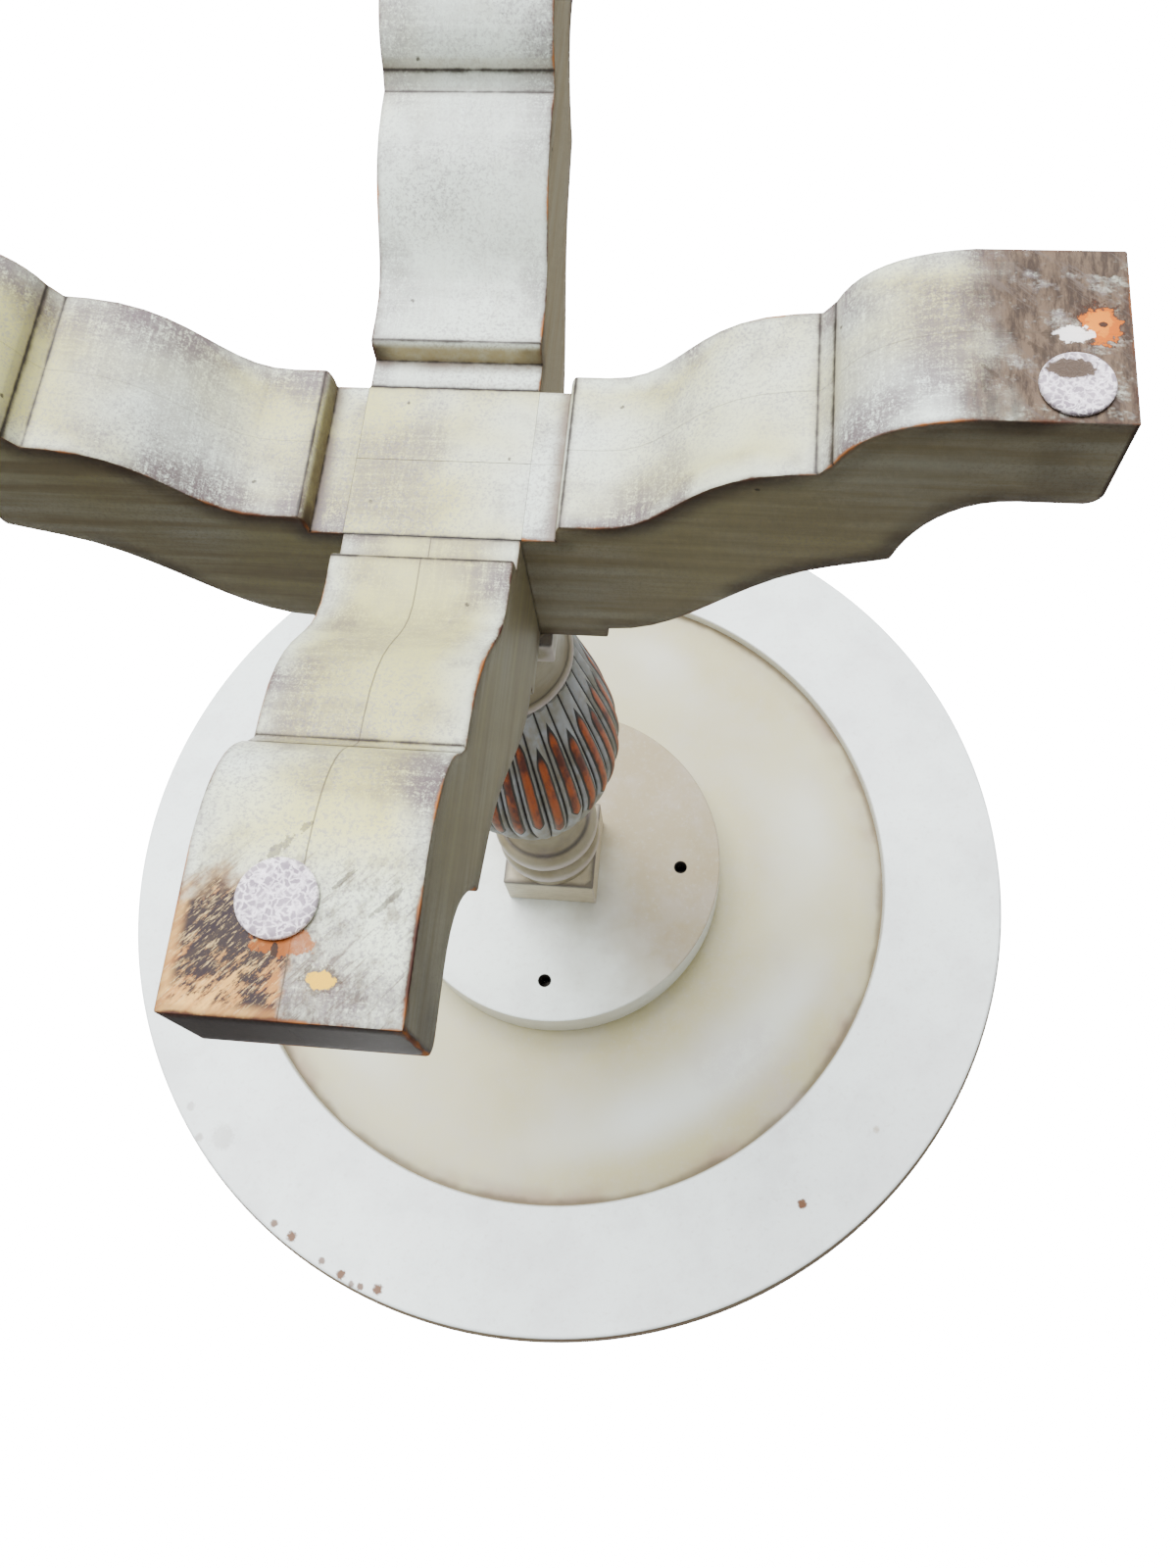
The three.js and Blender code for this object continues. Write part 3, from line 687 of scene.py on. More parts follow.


# %% [markdown]
# ## Glaze and painted shade on upright faces
#
# A darker glaze, which is also painted shade, lies on upright faces and is darkest on the end.
# Brown dirt and painted shade lie at the foot of the step beside the hub.

# %% Glaze and painted shade on upright faces
def leg_glaze(leg, colour, glaze_and_shade):
    tree, place, seed = leg.tree, leg.place, leg.seed
    # Upright faces are darkened by glaze and by painted shade.
    glaze_and_shade_share = times(tree, leg.upright, fade(tree, cloud(tree, place, 1.0, 4, 0.6, seed,
                                                        (9.0, 140.0, 140.0)), 0.3, 0.7, 0.84, 1.0))
    glazed_and_shaded = rgb(*(glaze_and_shade * part for part in LEG_GLAZE_AND_SHADE[:3]))
    colour = either_colour(tree, glaze_and_shade_share, colour, glazed_and_shaded)
    ending = fade(tree, leg.along, LEG_END_X - 3 * MM, LEG_END_X - MM)
    colour = either_colour(tree, times(tree, ending, leg.upright, 0.9), colour, LEG_END)
    # Dirt and painted shade at the foot of the step beside the hub.
    step_dirt_and_shade = times(tree, fade(tree, leg.along, STEP_FOOT - 9 * MM, STEP_FOOT - MM),
                    fade(tree, leg.along, STEP_FOOT, STEP_FOOT + MM, 1.0, 0.0),
                    fade(tree, cloud(tree, place, 30, 3, 0.6, seed), 0.3, 0.6, 0.45, 0.95),
                    fade(tree, leg.height, 0.12, 0.14, 1.0, 0.0), leg.flat)
    colour = either_colour(tree, step_dirt_and_shade, colour, rgb(0.16, 0.12, 0.085))
    return colour


# %% [markdown]
# ## Scuffs and smudges
#
# Purple-grey scuffs lie on flat faces, mostly within a finger's width of an edge. Brown-black
# smudges lie on upright faces, next to edges and at the outer end.

# %% Scuffs and smudges
def leg_scuffs(leg, colour, scuffed):
    tree, place, seed = leg.tree, leg.place, leg.seed
    close = maths(tree, "MAXIMUM", fade(tree, leg.to_edge, 3 * MM, EDGE_REACH, 1.0, 0.35),
                  fade(tree, leg.along, 0.190, 0.212, 0.0, 0.8))
    for streak, amount in (((24.0, 480.0, 480.0), 0.93), ((460.0, 30.0, 460.0), 0.9)):
        mask = use_group(tree, scuffs, {"Place": place, "Seed": seed, "Scale": 15.0,
                                        "Streak": streak, "Amount": amount})["Mask"]
        share = times(tree, mask, close, leg.flat, scuffed)
        colour = either_colour(tree, share, colour, SCUFF_PURPLE)
    return colour


def leg_smudges(leg, colour):
    tree = leg.tree
    smudge_cloud = cloud(tree, leg.place, 9, 3, 0.5, leg.seed)
    smudge_reach = maths(tree, "MAXIMUM", fade(tree, leg.to_edge, 1 * MM, 15 * MM, 0.9, 0.0),
                         fade(tree, leg.along, LEG_END_X - 42 * MM, LEG_END_X - 12 * MM, 0.0, 0.8))
    smudge = times(tree, fade(tree, smudge_cloud, 0.42, 0.58), smudge_reach, leg.upright)
    colour = either_colour(tree, times(tree, smudge, 0.92), colour, BURNISH)
    return colour


# %% [markdown]
# ## The scraped sole
#
# The foot has been dragged over floors. Dull patches and slanting scratches cover its sole,
# and on the front foot the wood shows on one side of the seam, under smears of black tar.

# %% The scraped sole
def scraped_sole(leg, colour, scraped):
    tree, place, seed = leg.tree, leg.place, leg.seed
    sole_start = maths(tree, "ADD", leg.along, times(tree, maths(
        tree, "SUBTRACT", cloud(tree, place, 30, 4, 0.6, seed), 0.5), 60 * MM))
    low_down = fade(tree, leg.height, 4 * MM, 14 * MM, 1.0, 0.0)
    sole = times(tree, fade(tree, sole_start, FOOT_SOLE_START, FOOT_SOLE_SCRAPED), leg.flat,
                 low_down)
    scratches = cloud(tree, leg.slanting, 1.0, 5, 0.75, seed, (55.0, 520.0, 420.0))
    crossing = cloud(tree, place, 1.0, 4, 0.75, seed, (240.0, 60.0, 240.0))
    dull = either_colour(tree, fade(tree, crossing, 0.4, 0.62), rgb(0.15, 0.105, 0.072),
                         rgb(0.05, 0.034, 0.026))
    rubbed_through = fade(tree, cloud(tree, place, 1.0, 4, 0.7, seed, (90.0, 120.0, 90.0)),
                          0.62 - 0.4 * scraped, 0.74 - 0.3 * scraped, 0.0, 0.38 + 0.72 * scraped)
    colour = either_colour(tree, times(tree, sole, rubbed_through), colour, dull)
    scored = times(tree, sole, fade(tree, scratches, 0.52, 0.64), 0.75)
    colour = either_colour(tree, scored, colour, rgb(0.14, 0.11, 0.095))
    return colour, sole, sole_start, scratches


def bare_wood(leg, colour, sole, sole_start, bare_side, bare_share):
    tree, place, seed = leg.tree, leg.place, leg.seed
    wood = use_group(tree, grain, {"Place": leg.slanting, "Seed": seed,
                                   "Pale": rgb(0.80, 0.50, 0.15),
                                   "Dark": rgb(0.40, 0.17, 0.045)})
    over = maths(tree, "ADD", times(tree, leg.across, bare_side), times(tree, maths(
        tree, "SUBTRACT", cloud(tree, place, 45, 4, 0.6, seed), 0.5), 22 * MM))
    gone = times(tree, sole, fade(tree, over, -1.5 * MM, 2.5 * MM), fade(
        tree, sole_start, FOOT_SOLE_SCRAPED - 12 * MM, FOOT_SOLE_SCRAPED), bare_share)
    colour = either_colour(tree, gone, colour, wood["Colour"])
    outwards = fade(tree, leg.along, LEG_END_X - 26 * MM, LEG_END_X - 10 * MM, 0.0, 0.16)
    tarred = maths(tree, "SUBTRACT", cloud(tree, place, 62, 4, 0.6, seed), outwards)
    streak = cloud(tree, leg.slanting, 1.0, 5, 0.8, seed, (140.0, 620.0, 400.0))
    tar = times(tree, gone, fade(tree, maths(tree, "ADD", times(tree, tarred, 0.5), times(
        tree, streak, 0.5)), 0.385, 0.445), fade(tree, leg.to_edge, 1 * MM, 6 * MM))
    colour = either_colour(tree, tar, colour, rgb(0.012, 0.014, 0.028))
    left = times(tree, gone, fade(tree, cloud(tree, leg.slanting, 1.0, 4, 0.8, seed, (
        200.0, 1300.0, 700.0)), 0.54, 0.63), 0.75)
    colour = either_colour(tree, left, colour, rgb(0.74, 0.56, 0.27))
    return colour


# %% [markdown]
# ## Seam, edges, steps and specks
#
# The glued seam between the two boards is a thin dark line. The edges are rubbed to the wood,
# the steps and inner corners hold dirt and painted shade, and a few specks lie anywhere.

# %% Seam, edges, steps and specks
def worn_lines(leg, colour, seam_share):
    tree, place, seed = leg.tree, leg.place, leg.seed
    seam = fade(tree, maths(tree, "ABSOLUTE", leg.across), 0.15 * MM, 0.55 * MM, seam_share, 0.0)
    colour = either_colour(tree, times(tree, seam, leg.flat), colour, rgb(0.10, 0.08, 0.06))
    edge = use_group(tree, worn_edge, {"Place": place, "Seed": seed, "Distance": leg.to_edge,
                                       "Width": 1.0 * MM, "Raggedness": 5.0 * MM,
                                       "Scale": 40.0})
    colour = either_colour(tree, times(tree, edge["Stain"], 0.5), colour, WORN_BROWN)
    warm = either_colour(tree, fade(tree, cloud(tree, place, 25, 2, 0.5, seed), 0.45, 0.6),
                         WORN_BROWN, WORN_ORANGE)
    colour = either_colour(tree, edge["Bare"], colour, warm)
    # Inner corners and open joints are darkened with dirt and painted shade.
    dirt_and_shade = use_group(tree, worn_edge, {"Place": place, "Seed": seed, "Distance": leg.to_corner,
                                       "Width": 1.4 * MM, "Raggedness": 2.0 * MM,
                                       "Scale": 90.0})
    colour = either_colour(tree, times(tree, dirt_and_shade["Stain"], 0.4), colour,
                           rgb(0.16, 0.12, 0.09))
    colour = either_colour(tree, times(tree, dirt_and_shade["Bare"], 1.0), colour,
                           rgb(0.02, 0.014, 0.012))
    dots = use_group(tree, specks, {"Place": place, "Scale": 95.0, "Size": 0.1, "Share": 0.06})
    colour = either_colour(tree, times(tree, dots["Mask"], 0.85), colour, rgb(0.05, 0.04, 0.03))
    return colour, edge["Bare"]


# %% [markdown]
# ## All layers of one leg
#
# The layers are laid in the order in which they came: coat, glaze and painted shade, scuffs
# and smudges, the scraped sole, worn lines, and last the single chips and gouges of that foot.

# %% One leg's paint
def leg_paint(name, scraped, patches=(), gouges=(), bare_side=0.0, bare_share=0.8,
              seam_share=0.3, warmth=0.5, scuffed=0.82, glaze_and_shade=0.8):
    """scraped: how far the sole is worn. bare_side: across which side its wood shows.
    The last argument says how pale the glaze and painted shade on the upright faces are."""
    material, tree, output = new_material(name)
    leg = LegSurface(tree)
    colour, brushed = leg_coat(leg, warmth)
    colour = leg_glaze(leg, colour, glaze_and_shade)
    colour = leg_scuffs(leg, colour, scuffed)
    colour = leg_smudges(leg, colour)
    colour, sole, sole_start, scratches = scraped_sole(leg, colour, scraped)
    if bare_side:
        colour = bare_wood(leg, colour, sole, sole_start, bare_side, bare_share)
    colour, bare_edge = worn_lines(leg, colour, seam_share)
    for centre, size, patch_colour, patch_share in patches:
        colour = chip(tree, leg.place, centre, size, patch_colour, colour, share=patch_share)
    for centre, size in gouges:
        turned = Matrix.Rotation(-SLANT, 3, "Z") @ Vector(centre)
        colour = chip(tree, leg.slanting, tuple(turned), size, rgb(0.05, 0.035, 0.025), colour,
                      2.2, 420.0, 0.6)

    raised = maths(tree, "SUBTRACT", times(tree, brushed, 0.5), times(tree, sole, scratches, 1.5))
    raised = maths(tree, "SUBTRACT", raised, times(tree, bare_edge, 0.8))
    roughness = fade(tree, maths(tree, "MAXIMUM", bare_edge, sole), 0.0, 1.0, 0.5, 0.78)
    glossy_coat(tree, output, colour, roughness, raised, 0.35 * MM,
                Specular_IOR_Level=fade(tree, leg.upright, 0.0, 1.0, 0.35, 0.08))
    return material

# %% [markdown]
# ## Five finishes from one function
#
# Each leg has its own wear under the foot, and the hub has none. Chips and gouges are placed
# in millimetres along and across the leg, so they are easy to move.

# %% The paints of the legs and the hub
sole_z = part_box("leg_front_board_a")[0][2]
ORANGE_WOOD = rgb(0.50, 0.13, 0.004)
PALE_WOOD = rgb(0.68, 0.25, 0.015)
YELLOW_WOOD = rgb(0.80, 0.50, 0.03)
DARK_WOOD = rgb(0.045, 0.025, 0.018)
WHITE_SCRAP = rgb(0.86, 0.86, 0.87)


def on_sole(along, across):
    """A place on the sole, from millimetres along and across the leg."""
    return along * MM, across * MM, sole_z


leg_paints = {
    "front": leg_paint("leg paint front", 0.3, [
        (on_sole(261, 3), (5 * MM, 11 * MM), rgb(0.34, 0.10, 0.012), 0.8),
        (on_sole(264.7, 5), (2.2 * MM, 1.4 * MM), DARK_WOOD, 1.0),
        (on_sole(273.4, -12), (4.6 * MM, 6.2 * MM), DARK_WOOD, 0.6),
        (on_sole(273.6, -12.2), (3.3 * MM, 4.6 * MM), YELLOW_WOOD, 1.0),
    ], gouges=[
        (on_sole(229, 10), (6 * MM, 1.7 * MM)), (on_sole(220.5, 2.4), (3 * MM, 1.2 * MM)),
        (on_sole(245, -31), (7 * MM, 1.0 * MM)), (on_sole(239, -14), (5 * MM, 0.8 * MM)),
    ], bare_side=1.0, bare_share=0.95, seam_share=0.7, warmth=0.75),
    "left": leg_paint("leg paint left", 0.85, [
        (on_sole(275.4, -4.6), (8.8 * MM, 10.4 * MM), DARK_WOOD, 0.95),
        (on_sole(275.6, -4.2), (7.4 * MM, 9.0 * MM), ORANGE_WOOD, 1.0),
        (on_sole(275.2, -5.4), (4.6 * MM, 6.0 * MM), PALE_WOOD, 0.75),
        (on_sole(276.5, -4.6), (1.7 * MM, 1.3 * MM), DARK_WOOD, 1.0),
        (on_sole(266.0, 0.4), (7.4 * MM, 3.8 * MM), WHITE_SCRAP, 1.0),
    ], gouges=[
        (on_sole(252, 9), (5 * MM, 1.4 * MM)), (on_sole(256, 2), (4 * MM, 1.6 * MM)),
        (on_sole(233, 19), (5 * MM, 0.9 * MM)),
    ], seam_share=0.3, warmth=0.55, glaze_and_shade=0.9),
    "back": leg_paint("leg paint back", 0.6, seam_share=0.0, warmth=0.15, scuffed=0.4, glaze_and_shade=1.4),
    "right": leg_paint("leg paint right", 0.7, seam_share=0.15, warmth=0.45, glaze_and_shade=0.62),
    "hub": leg_paint("hub paint", 0.0, seam_share=0.0, warmth=0.78),
}
print("leg paints", sorted(leg_paints))

# %% [markdown]
# ## The column's paint
#
# The turned pieces carry the same paint under a beige glaze. The glaze was wiped off what
# stands out, so the crests of the rings are pale, with a painted highlight on them, and it
# stayed in the hollows, which are dark with glaze and painted shade. Crests and hollows are
# the edge and corner lines of those pieces.

# %% Glazed paint
GLAZE_BEIGE = rgb(0.215, 0.18, 0.105)
GLAZE_PALE = rgb(0.28, 0.245, 0.165)
CREST_RUB_AND_HIGHLIGHT = rgb(0.46, 0.40, 0.375)
HOLLOW_GLAZE_AND_SHADE = rgb(0.07, 0.06, 0.05)


def glazed_paint(name, coat, drift_to, crest_width, hollow_width, crest_share=0.8):
    material, tree, output = new_material(name)
    place = add_node(tree, "ShaderNodeTexCoord").outputs["Object"]
    drift = fade(tree, cloud(tree, place, 16, 4, 0.6), 0.42, 0.62)
    colour = either_colour(tree, drift, coat, drift_to)
    rubbed = cloud(tree, place, 1.0, 4, 0.7, 0.0, (120.0, 120.0, 420.0))
    colour = either_colour(tree, fade(tree, rubbed, 0.4, 0.75, 0.0, 0.3), colour,
                           rgb(0.20, 0.17, 0.14))
    # Crests: rubbed paint and a painted highlight.
    crest = fade(tree, maths(tree, "ADD", attribute(tree, "to_edge"), times(
        tree, cloud(tree, place, 60, 3, 0.6), 2 * MM)), MM, crest_width, crest_share, 0.0)
    colour = either_colour(tree, crest, colour, CREST_RUB_AND_HIGHLIGHT)
    # Hollows: glaze and painted shade.
    hollow = fade(tree, attribute(tree, "to_corner"), 0.3 * MM, hollow_width, 0.85, 0.0)
    colour = either_colour(tree, hollow, colour, HOLLOW_GLAZE_AND_SHADE)
    dots = use_group(tree, specks, {"Place": place, "Scale": 130.0, "Size": 0.12, "Share": 0.07})
    colour = either_colour(tree, times(tree, dots["Mask"], 0.6), colour, rgb(0.09, 0.06, 0.04))
    mask = use_group(tree, scuffs, {"Place": place, "Scale": 22.0, "Amount": 0.5})["Mask"]
    colour = either_colour(tree, times(tree, mask, 0.5), colour, SCUFF_PURPLE)
    glossy_coat(tree, output, colour, fade(tree, rubbed, 0.3, 0.7, 0.42, 0.6), rubbed,
                0.3 * MM, Specular_IOR_Level=0.4)
    return material


collar_paint = glazed_paint("collar paint", GLAZE_BEIGE, GLAZE_PALE, 6 * MM, 3 * MM)
ring_paint = glazed_paint("neck paint", GLAZE_BEIGE, GLAZE_PALE, 9 * MM, 3.5 * MM)
block_paint = glazed_paint("block paint", rgb(0.46, 0.40, 0.27), rgb(0.52, 0.47, 0.34),
                           3 * MM, 6 * MM, 0.6)
print("glazed paints made")

# %% [markdown]
# ## The lobes' paint
#
# The urn's lobes were rubbed hardest. Each crest shows a long strip of orange-brown wood with
# near-black edges, pointed at its lower end, between grey-white paint and thin dark grooves.
# Every vertex knows how near it is to its crest (across), how high it is (up) and which
# lobe it belongs to (number), so that each strip can start at another height.

# %% Lobe paint
LOBE_GREY = rgb(0.22, 0.215, 0.185)
LOBE_BLUE = rgb(0.31, 0.32, 0.33)
LOBE_GROOVE = rgb(0.022, 0.018, 0.015)
LOBE_ORANGE = rgb(0.31, 0.058, 0.003)
LOBE_RED = rgb(0.085, 0.014, 0.004)
LOBE_CHAR = rgb(0.010, 0.006, 0.005)

lobe_paint, tree, output = new_material("lobe paint")
place = add_node(tree, "ShaderNodeTexCoord").outputs["Object"]
across = attribute(tree, "across")
up = attribute(tree, "up")
number = attribute(tree, "number")
tall = (60.0, 60.0, 12.0)
wander = cloud(tree, place, 1.0, 3, 0.6, number, tall)
painted = either_colour(tree, fade(tree, cloud(tree, place, 26, 3, 0.6), 0.4, 0.62),
                        LOBE_GREY, LOBE_BLUE)
glaze_low = fade(tree, cloud(tree, place, 1.0, 4, 0.7, number, (180.0, 180.0, 30.0)),
                 0.45, 0.7, 0.0, 0.55)
painted = either_colour(tree, glaze_low, painted, GLAZE_BEIGE)
groove = fade(tree, maths(tree, "ADD", across, times(tree, wander, 0.12)), 0.09, 0.27, 1.0, 0.0)
painted = either_colour(tree, groove, painted, LOBE_GROOVE)

own = add_node(tree, "ShaderNodeTexWhiteNoise", {"noise_dimensions": "1D"},
               {"W": number}).outputs["Value"]
starts_at = times(tree, own, 0.09)
begun = fade(tree, maths(tree, "SUBTRACT", up, starts_at), 0.0, 0.14)
ended = fade(tree, maths(tree, "SUBTRACT", up, times(tree, own, 0.11)), 0.475, 0.53, 1.0, 0.0)
reach = times(tree, begun, ended)
strip_edge = maths(tree, "SUBTRACT", maths(tree, "ADD", 1.0, times(tree, wander, 0.24)),
                   times(tree, reach, 0.75))
margin = maths(tree, "SUBTRACT", across, strip_edge)
worn = fade(tree, margin, 0.0, 0.06)
heart = fade(tree, margin, 0.14, 0.36)
blotch = cloud(tree, place, 1.0, 4, 0.65, number, (90.0, 90.0, 30.0))
wood = either_colour(tree, fade(tree, blotch, 0.40, 0.64), LOBE_ORANGE, LOBE_RED)
wood = either_colour(tree, heart, LOBE_CHAR, wood)
burnt = fade(tree, begun, 0.55, 1.0, 0.97, 0.0)
wood = either_colour(tree, burnt, wood, LOBE_CHAR)
colour = either_colour(tree, worn, painted, wood)
raised = maths(tree, "SUBTRACT", times(tree, wander, 0.6), times(tree, worn, 0.7))
glossy_coat(tree, output, colour, fade(tree, worn, 0.0, 1.0, 0.6, 0.5), raised, 0.4 * MM,
            Specular_IOR_Level=0.2)
print("material", lobe_paint.name)

# %% [markdown]
# ## The top's paint
#
# The top's underside has two tones: the outer ring is a clean cool white, and the recess
# inside it is creamier, with painted shade and a dark line of glaze and painted shade along
# its wall, and a painted band of light across its middle. Both depend on the distance from
# the axis, which the Object coordinates give. A few brown specks lie near the
# outer edge, which is rubbed to a pinkish beige.

# %% Top paint
TOP_COOL = rgb(0.80, 0.88, 0.88)
TOP_CLOUD = rgb(0.74, 0.79, 0.80)
RECESS_CREAM = rgb(0.395, 0.36, 0.195)
RECESS_COOL = rgb(0.47, 0.445, 0.29)
WALL_GLAZE_AND_SHADE = rgb(0.10, 0.075, 0.04)
SPOT_BROWN = rgb(0.11, 0.042, 0.012)
panel_low, panel_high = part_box("table_top")
rim_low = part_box("rim_segment_1")[0]
TOP_RADIUS = panel_high[0]
RIM_INNER = TOP_RADIUS - 107 * MM
RIM_OUTER = TOP_RADIUS - 3 * MM


def radius_of(tree, place):
    """Distance of a place from the column's axis."""
    flat = add_node(tree, "ShaderNodeVectorMath", {"operation": "MULTIPLY"},
                    {0: place, 1: (1.0, 1.0, 0.0)}).outputs[0]
    return add_node(tree, "ShaderNodeVectorMath", {"operation": "LENGTH"},
                    {0: flat}).outputs["Value"]


def spot(tree, place, centre, radius, colour, under, share=0.85):
    """One small ragged spot on an underside. centre is (x, y) in millimetres."""
    away = radius_of(tree, add_node(tree, "ShaderNodeVectorMath", {"operation": "SUBTRACT"}, {
        0: place, 1: (centre[0] * MM, centre[1] * MM, 0.0)}).outputs[0])
    ragged = times(tree, maths(tree, "SUBTRACT", cloud(tree, place, 380, 3, 0.7), 0.5),
                   radius * MM * 1.8)
    inside_it = fade(tree, maths(tree, "ADD", away, ragged), radius * 0.8 * MM,
                     radius * 1.5 * MM, share, 0.0)
    return either_colour(tree, inside_it, under, colour)


# %% [markdown]
# ## The top in one function
#
# The rim, the panel and the plate share one paint with different tones. The panel adds the
# painted light and painted shade of the recess, and the plate adds a painted shadow on one
# side and painted shade in its holes.

# %% One function for the rim, the panel and the plate
def top_paint(name, coat, drift_to, recess=False, spots=(), painted_shade_along=None, holes=0.0):
    """Given a direction, the first tone gives way that way, to a painted shadow on the plate.
    holes: radius of the screw circle.
    """
    material, tree, output = new_material(name)
    place = add_node(tree, "ShaderNodeTexCoord").outputs["Object"]
    radius = radius_of(tree, place)
    drift = fade(tree, cloud(tree, place, 5, 4, 0.55), 0.38, 0.66)
    # On the plate the tones change along a direction: the second tone is a painted shadow of the
    # hub and legs.
    if painted_shade_along:
        there = add_node(tree, "ShaderNodeVectorMath", {"operation": "DOT_PRODUCT"},
                         {0: place, 1: painted_shade_along}).outputs["Value"]
        drift = fade(tree, maths(tree, "ADD", there, times(tree, maths(
            tree, "SUBTRACT", cloud(tree, place, 14, 4, 0.6), 0.5), 0.12)), -0.09, 0.06)
    colour = either_colour(tree, drift, coat, drift_to)
    fine = cloud(tree, place, 260, 3, 0.7)
    colour = either_colour(tree, fade(tree, fine, 0.5, 0.8, 0.0, 0.35), colour,
                           rgb(0.45, 0.44, 0.40))
    mottled = fade(tree, cloud(tree, place, 22, 4, 0.65, 3.0), 0.42, 0.68, 0.0, 0.22)
    colour = either_colour(tree, mottled, colour, rgb(0.42, 0.40, 0.42))
    inner = maths(tree, "SUBTRACT", RIM_INNER, radius)
    if recess:
        # A painted band of light across the middle of the recess.
        painted_light_band = times(tree, fade(tree, inner, 20 * MM, 60 * MM),
                     fade(tree, inner, 60 * MM, 120 * MM, 1.0, 0.0),
                     fade(tree, cloud(tree, place, 3.2, 2, 0.5, 2.0), 0.42, 0.6))
        colour = either_colour(tree, times(tree, painted_light_band, 0.65), colour, rgb(0.66, 0.72, 0.72))
        # Painted shade that deepens towards the recess wall.
        painted_wall_shade = fade(tree, inner, 0.0, 26 * MM, 0.3, 0.0)
        colour = either_colour(tree, painted_wall_shade, colour, rgb(0.16, 0.13, 0.08))
        worn_red = times(tree, fade(tree, inner, 0.0, 22 * MM, 1.0, 0.0),
                         fade(tree, cloud(tree, place, 11, 3, 0.6, 4.0), 0.48, 0.62))
        colour = either_colour(tree, times(tree, worn_red, 0.6), colour, rgb(0.20, 0.11, 0.085))
        # A dark line along the recess wall, partly glaze and partly painted shade.
        line = fade(tree, maths(tree, "ADD", inner, times(tree, maths(
            tree, "SUBTRACT", cloud(tree, place, 22, 3), 0.5), 14 * MM)), MM, 8 * MM, 0.85, 0.0)
        colour = either_colour(tree, line, colour, WALL_GLAZE_AND_SHADE)
    # A thin dark line of painted shade where the ring meets the recess.
    wall = fade(tree, maths(tree, "ABSOLUTE", inner), 0.4 * MM, 2.2 * MM, 0.6, 0.0)
    colour = either_colour(tree, wall, colour, rgb(0.17, 0.135, 0.07))
    above = either_colour(tree, fade(tree, cloud(tree, place, 6, 4, 0.6, 5.0), 0.4, 0.65),
                          rgb(0.60, 0.59, 0.50), rgb(0.62, 0.64, 0.60))
    above = either_colour(tree, fade(tree, fine, 0.5, 0.75, 0.0, 0.25), above,
                          rgb(0.40, 0.37, 0.31))
    colour = either_colour(tree, maths(tree, "MAXIMUM", facing_up(tree), upright_share(tree)),
                           colour, above)
    outwards = maths(tree, "SUBTRACT", TOP_RADIUS, radius)
    rubbed_rim = fade(tree, maths(tree, "ADD", outwards, times(
        tree, cloud(tree, place, 30, 3, 0.6), 4 * MM)), 1.5 * MM, 6 * MM, 0.85, 0.0)
    rubbed_rim = times(tree, rubbed_rim, fade(tree, upright_share(tree), 0.0, 1.0, 1.0, 0.3))
    colour = either_colour(tree, rubbed_rim, colour, rgb(0.15, 0.115, 0.09))
    rare = use_group(tree, specks, {"Place": place, "Scale": 24.0, "Size": 0.07, "Share": 0.06})
    colour = either_colour(tree, times(tree, rare["Mask"], 0.6), colour, rgb(0.30, 0.21, 0.11))
    mask = use_group(tree, scuffs, {"Place": place, "Scale": 7.0, "Amount": 0.5,
                                    "Streak": (60.0, 60.0, 60.0)})["Mask"]
    colour = either_colour(tree, times(tree, mask, 0.3), colour, rgb(0.36, 0.31, 0.32))
    if holes:
        sides = add_node(tree, "ShaderNodeVectorMath", {"operation": "ABSOLUTE"}, {0: place})
        sides = add_node(tree, "ShaderNodeSeparateXYZ", inputs={0: sides.outputs[0]}).outputs
        off_ring = maths(tree, "SUBTRACT", maths(tree, "MAXIMUM", sides["X"], sides["Y"]), holes)
        off_axis = maths(tree, "MINIMUM", sides["X"], sides["Y"])
        away = maths(tree, "SQRT", maths(tree, "ADD", times(tree, off_ring, off_ring),
                                         times(tree, off_axis, off_axis)))
        # The holes are painted near-black: painted shade inside them.
        colour = either_colour(tree, fade(tree, away, 5.6 * MM, 6.2 * MM, 0.97, 0.0), colour,
                               rgb(0.018, 0.014, 0.01))
    for centre, spot_radius, share in spots:
        colour = spot(tree, place, centre, spot_radius, SPOT_BROWN, colour, share)
    glossy_coat(tree, output, colour, fade(tree, drift, 0.0, 1.0, 0.42, 0.52), fine, 0.15 * MM,
                Specular_IOR_Level=0.3)
    return material


SPOT_GROWTH = 1.25
SPOT_STRENGTH = 1.15
RIM_SPOTS = [(centre, radius * SPOT_GROWTH, min(share * SPOT_STRENGTH, 1.0))
             for centre, radius, share in (
    ((214, -331), 2.3, 0.8), ((197, -340), 2.8, 0.85), ((168, -357), 2.0, 0.75),
    ((150, -366), 2.6, 0.85), ((140, -373), 1.8, 0.7), ((132, -374), 1.9, 0.8),
    ((117, -375), 2.8, 0.85), ((294, -266), 2.4, 0.4), ((307, -240), 2.6, 0.3),
    ((273, -264), 7.0, 0.22), ((-231, -277), 2.6, 0.9))]
rim_paint = top_paint("rim paint", TOP_COOL, TOP_CLOUD, spots=RIM_SPOTS)
panel_paint = top_paint("panel paint", RECESS_CREAM, RECESS_COOL, recess=True)
SCREW_CIRCLE = 0.76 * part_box("mounting_plate")[1][0]
# The plate's dark beige second tone is a painted shadow, towards -X and +Y.
plate_paint = top_paint("plate paint", rgb(0.83, 0.91, 0.88), rgb(0.30, 0.25, 0.15),
                        painted_shade_along=(-0.75, 0.66, 0.0), holes=SCREW_CIRCLE)
print("top paints made")

# %% [markdown]
# ## Felt, bare wood and zinc
#
# The felt is pressed from pale fibres that lie in swirls: a Voronoi net, bent by noise,
# draws the strands. The dowels are bare wood, and the screws are dull zinc. All three are
# small, but each still varies over its surface.

